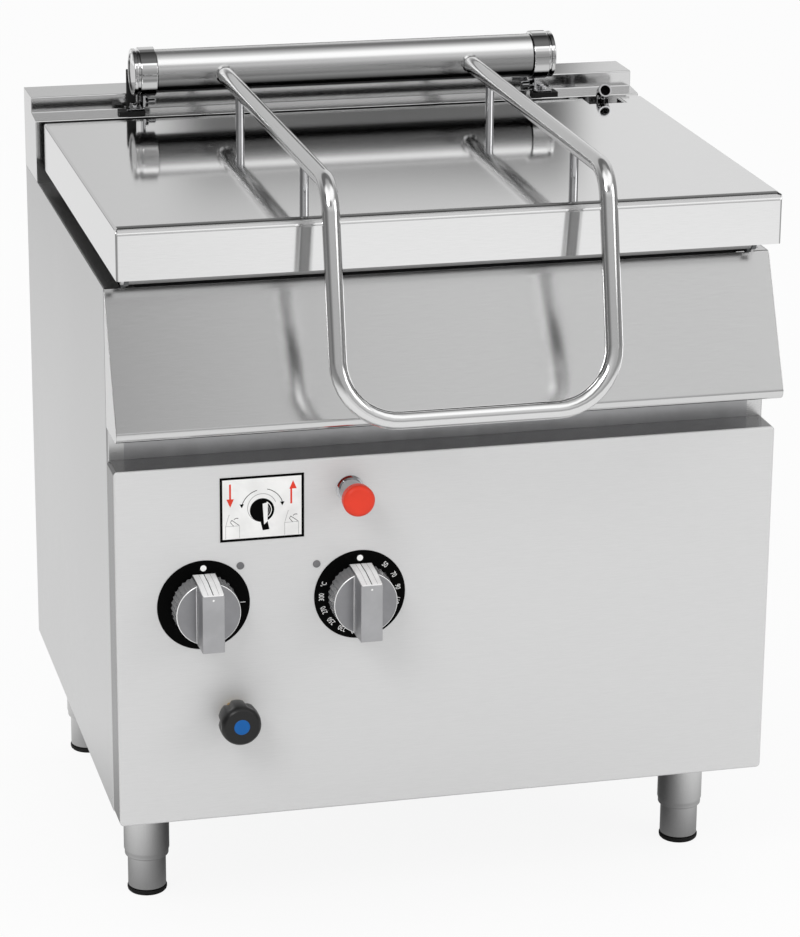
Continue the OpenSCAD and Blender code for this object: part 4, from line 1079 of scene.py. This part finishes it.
# Dials: the numbers, their places in degrees, clockwise from the top, and the dot at the top.
SCALE = ["50", "70", "90", "110", "130", "150", "180", "210", "230", "250", "270", "300"]
SCALE_START, SCALE_STEP, UNIT_AT, POSITION_AT = 41, 20.82, 290, 90
FIGURE_H, UNIT_H, FIGURE_R = mm(6.4, 6.0, 46.5)
DIAL_BORE = 5 * MM
DIAL_DOT_R, DIAL_DOT_SHARE = 3.7 * MM, 0.83


def make_dial(node, name, print_name, marks):
    """Black disc with softly rounded edge, and its white printed marks."""
    low, high, centre, radius = round_box(node)
    thick = high.y - low.y
    edge = [(radius, 0), (radius, thick * 0.6), (radius - thick * 0.4, thick)]
    disc = forward([(DIAL_BORE, 0), *edge, (DIAL_BORE, thick)], centre, high.y, 128)
    dress(name, "dial_black", node, disc, loop=True)
    ink = Print(print_name, node)
    ink.patch(arc((0, DIAL_DOT_SHARE * radius), DIAL_DOT_R, 0, 345, 23), "mark_white")
    marks(ink)
    ink.build("cabinet", "plate_white")


def heat_marks(ink):
    for i, body in enumerate(SCALE):
        turn = SCALE_START + SCALE_STEP * i
        ink.shape(*letters(body, FIGURE_H, turn, FIGURE_R), "mark_white")
    ink.shape(*letters("°C", UNIT_H, UNIT_AT, FIGURE_R), "mark_white")


def mode_marks(ink):
    ink.shape(*letters("1", FIGURE_H, POSITION_AT, FIGURE_R, 0.8), "mark_white")


LAMP_R, LAMP_SPAN, LAMP_DEEP, LAMP_OUT, LAMP_DOME = mm(4.5, 5.625, 1, 0.8, 0.7)


def make_lamps():
    """Two round grey lenses with domed faces."""
    low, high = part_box("indicator_lamps")
    a = np.linspace(0.3, np.pi / 2, 6)
    dome = np.stack([LAMP_R * np.cos(a), LAMP_OUT + LAMP_DOME * np.sin(a)], 1)
    profile = [(0, -LAMP_DEEP), (LAMP_R, -LAMP_DEEP), (LAMP_R, LAMP_OUT), *dome]
    places = (low.x + LAMP_SPAN, high.z - LAMP_SPAN), (high.x - LAMP_SPAN, low.z + LAMP_SPAN)
    lenses = [forward(profile, Vector((x, 0, z)), PANEL_FACE, 40) for x, z in places]
    dress("lamp_lenses", "lamp_grey", "indicator_lamps", *lenses)


# The instruction plate. Arrows and outlines are placed by shares of its half width and half
# height; the drawn machine, dial and lever have their points in mm.
PLATE_CORNER, PLATE_SOFT, FRAME_W = mm(0.6, 0.2, 3.1)
FRAME_SHARE = 0.998
ARROW_X_SHARE, ARROW_REACH_SHARE, ARROW_HEAD_SHARE = 0.745, 0.36, 0.26
ARROW_LEFT, ARROW_DROP, ARROW_W, ARROW_HALF = mm(1.5, 3, 2.2, 4.4)
SWEEP_R, SWEEP_FROM, SWEEP_TO, SWEEP_DROP_SHARE = 25 * MM, 14, 74, 0.06
SWEEP_TIP = np.array([(-2.6, 1.2), (2.6, 1.2), (0, -3.6)]) * MM
MACHINE_X_SHARE, MACHINE_Z_SHARE, MACHINE_LEFT = 0.7, 0.9, 8 * MM
MACHINE = (
    ([(0, 0), (0, 15), (16, 15), (16, 0)], 0.5 * MM, "print_grey"),
    ([(0, 15), (4, 29), (5, 29)], 0.5 * MM, "print_grey"),
    ([(16, 16), (7, 23), (5, 20), (9, 15)], 0.6 * MM, "dial_black"),
)
HOOK_AT, HOOK_R = (13 * MM, 21 * MM), 3.4 * MM
HALO_R, SPOT_R, SHINE_R, GLINT_R, SPOT_DROP = mm(17.5, 14.5, 11.5, 8.7, 3)
LEVER = np.array([(-6.4, 2.4), (0.6, 4.6), (2.3, -21), (0.6, -28), (8.6, -27), (6.4, -17)]) * MM
LEVER_TOP = np.array([(0.6, 4.6), (7, 6.2), (6.4, -17), (2.3, -21)]) * MM
LINE_1, LINE_2, LINE_3, LINE_4 = mm(0.6, 0.7, 0.8, 0.9)


def make_plate():
    """Instruction plate: black frame, red arrows, a knob drawn in black, two faint machines."""
    node = "instruction_plate"
    low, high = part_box(node)
    w, h = (high.x - low.x) / 2, (high.z - low.z) / 2
    outline = rectangle((low.x, low.z), (high.x, high.z), PLATE_CORNER)
    sheet = prism(outline, 1, low.y, high.y, PLATE_SOFT)
    dress("plate_sheet", "plate_white", node, sheet)
    ink = Print("plate_print", node)
    corners = np.array([(-w, -h), (w, -h), (w, h), (-w, h)]) * FRAME_SHARE
    edges = [[i, (i + 1) % 4, (i + 1) % 4 + 4, i + 4] for i in range(4)]
    inner = corners - np.sign(corners) * FRAME_W
    ink.shape(np.concatenate([corners, inner]), edges, "dial_black")
    for way in (-1, 1):
        x, z = way * ARROW_X_SHARE * w - ARROW_LEFT, h / 2 - ARROW_DROP
        reach = way * ARROW_REACH_SHARE * h
        tip, neck = z + reach, z + reach - way * ARROW_HEAD_SHARE * h
        ink.line([(x, z - reach), (x, neck)], ARROW_W, "signal_red")
        x += ARROW_W / 2
        ink.patch([(x - ARROW_HALF, neck), (x + ARROW_HALF, neck), (x, tip)], "signal_red")
        turn = 90 - way * SWEEP_FROM, 90 - way * SWEEP_TO
        sweep = arc((0, -SWEEP_DROP_SHARE * h), SWEEP_R, *turn, 16)
        ink.line(sweep, LINE_3, "dial_black")
        ink.patch(sweep[-1] + SWEEP_TIP, "dial_black")
        base = np.array([way * MACHINE_X_SHARE * w - MACHINE_LEFT, -MACHINE_Z_SHARE * h])
        for points, width, tint in MACHINE:
            ink.line(np.array(points) * MM + base, width, tint)
        ink.line(arc(base + HOOK_AT, HOOK_R, 150, 60, 6), LINE_2, "dial_black")
    middle = (0, -SPOT_DROP)
    ink.line(arc((0, 0), HALO_R, 20, 250, 32), LINE_3, "print_grey")
    ink.patch(arc(middle, SPOT_R, 0, 350, 30), "dial_black", 1)
    ink.line(arc(middle, SHINE_R, -50, 60, 16), LINE_4, "mark_white", 2)
    ink.line(arc(middle, GLINT_R, -40, 55, 12), LINE_1, "print_grey", 2)
    ink.patch(LEVER[[0, 1, 2, 3]], "dial_black", 3)
    ink.patch(LEVER[[2, 3, 4, 5]], "dial_black", 3)
    ink.patch(LEVER_TOP, "mark_white", 4)
    ink.build("cabinet", "plate_white")


# The button: its sleeve's bore and flange, the rod's radii, and the head's socket and edges.
SLEEVE_BORE, FLANGE_OUT, FLANGE_T, FLANGE_RISE = mm(12.6, 2.5, 1.2, 1.6)
ROD_R, NOSE_R, NOSE_L = mm(12.5, 6, 8.5)
SOCKET_R, HEAD_BACK, HEAD_EDGE = 6.1 * MM, [(3 * MM, 0), (0.6 * MM, 2.5 * MM)], 5.5 * MM


def make_button():
    """Chrome sleeve, black push rod, and a red head with a soft edge."""
    low, high, centre, radius = round_box("button_bezel")
    length = high.y - low.y
    flange = radius + FLANGE_OUT
    profile = [(SLEEVE_BORE, 0), (flange, 0), (flange, FLANGE_T), (radius, FLANGE_RISE)]
    profile += [(radius, length - SOFT), (radius - SOFT, length), (SLEEVE_BORE, length)]
    sleeve = forward(profile, centre, high.y, 72)
    dress("button_sleeve", "sleeve_chrome", "button_bezel", sleeve, loop=True)
    low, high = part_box("button_stem")
    span = high.y - low.y
    profile = [(ROD_R, 0), (ROD_R, span - NOSE_L), (NOSE_R, span - NOSE_L), (NOSE_R, span)]
    rod = forward(profile, centre, high.y, 48)
    dress("button_rod", "black_plastic", "button_stem", rod, body="button")
    low, high, _, radius = round_box("button_head")
    depth = high.y - low.y
    profile = [(SOCKET_R, NOSE_L), (SOCKET_R, 0)] + [(radius - d, z) for d, z in HEAD_BACK]
    profile += [*arc((radius - HEAD_EDGE, depth - HEAD_EDGE), HEAD_EDGE, 0, 90), (0, depth)]
    head = forward(profile, centre, high.y, 72)
    dress("button_cap_red", "signal_red", "button_head", head, body="button_cap")


# The tap's rows: share of its length, share of its radius, and depth of its scallops.
TAP_ROWS = (
    (0.0, 0.74, 0.1), (0.06, 0.84, 0.16), (0.3, 0.96, 0.17), (0.55, 1.0, 0.16),
    (0.72, 1.0, 0.1), (0.82, 0.99, 0.03), (0.9, 0.965, 0.0), (0.96, 0.91, 0.0),
    (1.0, 0.83, 0.0),
)
TAP_GAP, BADGE_SOFT = mm(10, 0.6)


def make_tap():
    """Tap knob: a round face, and six scallops that fade towards it. The flank's radius is
    R * (1 - depth * max(0, cos 6t) ** 1.3), and depth goes to nothing at the face."""
    low, high, _, radius = round_box("tap_knob")
    centre = mid("tap_disc")
    back = PANEL_FACE - TAP_GAP
    t = around(240)
    wave = np.maximum(0, np.cos(6 * t)) ** 1.3
    rings = []
    for share, wide, deep in TAP_ROWS:
        r = radius * wide * (1 - deep * wave)
        flat = (centre.x, centre.z) + r[:, None] * circle(t)
        rings.append(lift(flat, 1, back + share * (low.y - back)))
    piece = Piece("tap_knob_skin")
    piece.add(np.stack(rings), slot="black_plastic")
    shaft = [(TAP_SHAFT_R, 0), (TAP_SHAFT_R, high.y - back)]
    piece.add(revolve(shaft, (centre.x, back, centre.z), 1, 24), slot="brass")
    piece.build("tap", "black_plastic", "tap_knob")
    low, high, _, radius = round_box("tap_disc")
    thick = high.y - low.y
    profile = [(radius, 0), (radius, thick - BADGE_SOFT), (radius - BADGE_SOFT, thick)]
    badge = forward(profile, centre, high.y, 48)
    dress("tap_badge", "tap_blue", "tap_disc", badge, body="tap")


# Legs, as radii and small heights: the sleeve's lower lip turns in, and the rubber's rows are
# (inward, up from its low end).
LEG_R, LEG_BORE, LIP_H, LIP_IN, LIP_R = mm(28, 23.6, 9, 3, 2)
LIP_STEP, FOOT_SOFT = mm(1, 2.5)
RUBBER = ((2 * MM, 0), (0.5 * MM, 1.5 * MM), (0, 3.5 * MM))
RUBBER_TOP = 0.5 * MM


def make_legs():
    """Sleeves with a turned-in lower lip, adjustable feet and their rubber rings."""
    low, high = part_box("leg_sleeves")
    lip = (LEG_R - LIP_IN, low.z + LIP_R)
    profile = [(LEG_BORE, low.z), (LEG_R - LIP_IN, low.z), *arc(lip, LIP_R, -70, 0, 5)]
    profile += [(LEG_R - LIP_STEP, low.z + LIP_H - LIP_IN), (LEG_R, low.z + LIP_H)]
    profile += [(LEG_R, high.z), (LEG_BORE, high.z)]
    sleeves = []
    for row, y in ("front", low.y + LEG_R), ("rear", high.y - LEG_R):
        for column, x in ("left", low.x + LEG_R), ("right", high.x - LEG_R):
            name = f"{row}_{column}"
            sleeves.append(revolve(profile, (x, y, 0), 2, 72))
            base, top, _, radius = round_box("foot_" + name)
            rim = arc((radius - FOOT_SOFT, base.z + FOOT_SOFT), FOOT_SOFT, -90, 0)
            rows = [(0, base.z), *rim, (radius, top.z), (0, top.z)]
            foot = revolve(rows, (x, y, 0), 2, 72)
            dress("leg_" + name, "leg_steel", "foot_" + name, foot, body=name + "_foot")
            base, top, _, wide = round_box("pad_" + name)
            rows = [(0, base.z)] + [(wide - inward, base.z + up) for inward, up in RUBBER]
            rows += [(wide, top.z - RUBBER_TOP), (wide - RUBBER_TOP, top.z), (0, top.z)]
            ring = revolve(rows, (x, y, 0), 2, 72)
            dress("ring_" + name, "black_rubber", "pad_" + name, ring, body=name + "_foot")
    dress("sleeve_skins", "leg_steel", "leg_sleeves", *sleeves, loop=True)


# The spout: its pipe, how far it stands ahead of the lid's rear edge, the corner's height over
# the lid, the mouth's reach and height, and the arm that carries it.
PIPE_R, PIPE_BORE = mm(8.5, 6.6)
SPOUT_IN, CORNER_UP, MOUTH_AHEAD, MOUTH_UP = mm(9, 9, 13, 14)
ARM_UP, ARM_T = mm(5, 5)


def make_spout():
    """Chrome pipe that rises through the lid's notch and turns to the front, open at its end."""
    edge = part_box("lid_shell")[1]
    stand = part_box("rear_upstand")[0]
    x, y = NOTCH_X, edge.y - SPOUT_IN
    foot = (x, y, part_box("water_spout")[0].z)
    mouth = (x, y - MOUTH_AHEAD, edge.z + MOUTH_UP)
    path = bend([foot, (x, y, edge.z + CORNER_UP), mouth], [PIPE_R * 1.1], 12)
    inner = tube(path[len(path) // 3 :], PIPE_BORE)[::-1]
    piece = Piece("spout_pipe")
    piece.add(np.concatenate([tube(path, PIPE_R), inner]), slot="chrome")
    # A black plug in the bore near the mouth: painted shade inside the open end.
    piece.add(tube(path[-3:-1], PIPE_BORE), slot="dial_black")
    arm = rectangle((x - PIPE_R, y), (x + PIPE_R, stand.y))
    arm_z = stand.z + ARM_UP
    piece.add(prism(arm, 2, arm_z, arm_z + ARM_T, BEVEL), slot="chrome")
    piece.build("cabinet", "chrome", "water_spout")


make_lid()
make_handle()
make_posts()
make_hinge_tube()
make_collars()
make_brackets()
make_bolts()
make_pads()
make_hood()
make_panel()
make_upstand()
make_side("left_side_panel", "left_side_sheet", -1)
make_side("right_side_panel", "right_side_sheet", 1)
make_knob("switch_knob", "mode_knob_skin", "mode_knob")
make_knob("thermostat_knob", "heat_knob_skin", "heat_knob")
make_dial("switch_dial", "mode_dial", "mode_print", mode_marks)
make_dial("thermostat_dial", "heat_dial", "heat_print", heat_marks)
make_lamps()
make_plate()
make_button()
make_tap()
make_legs()
make_spout()
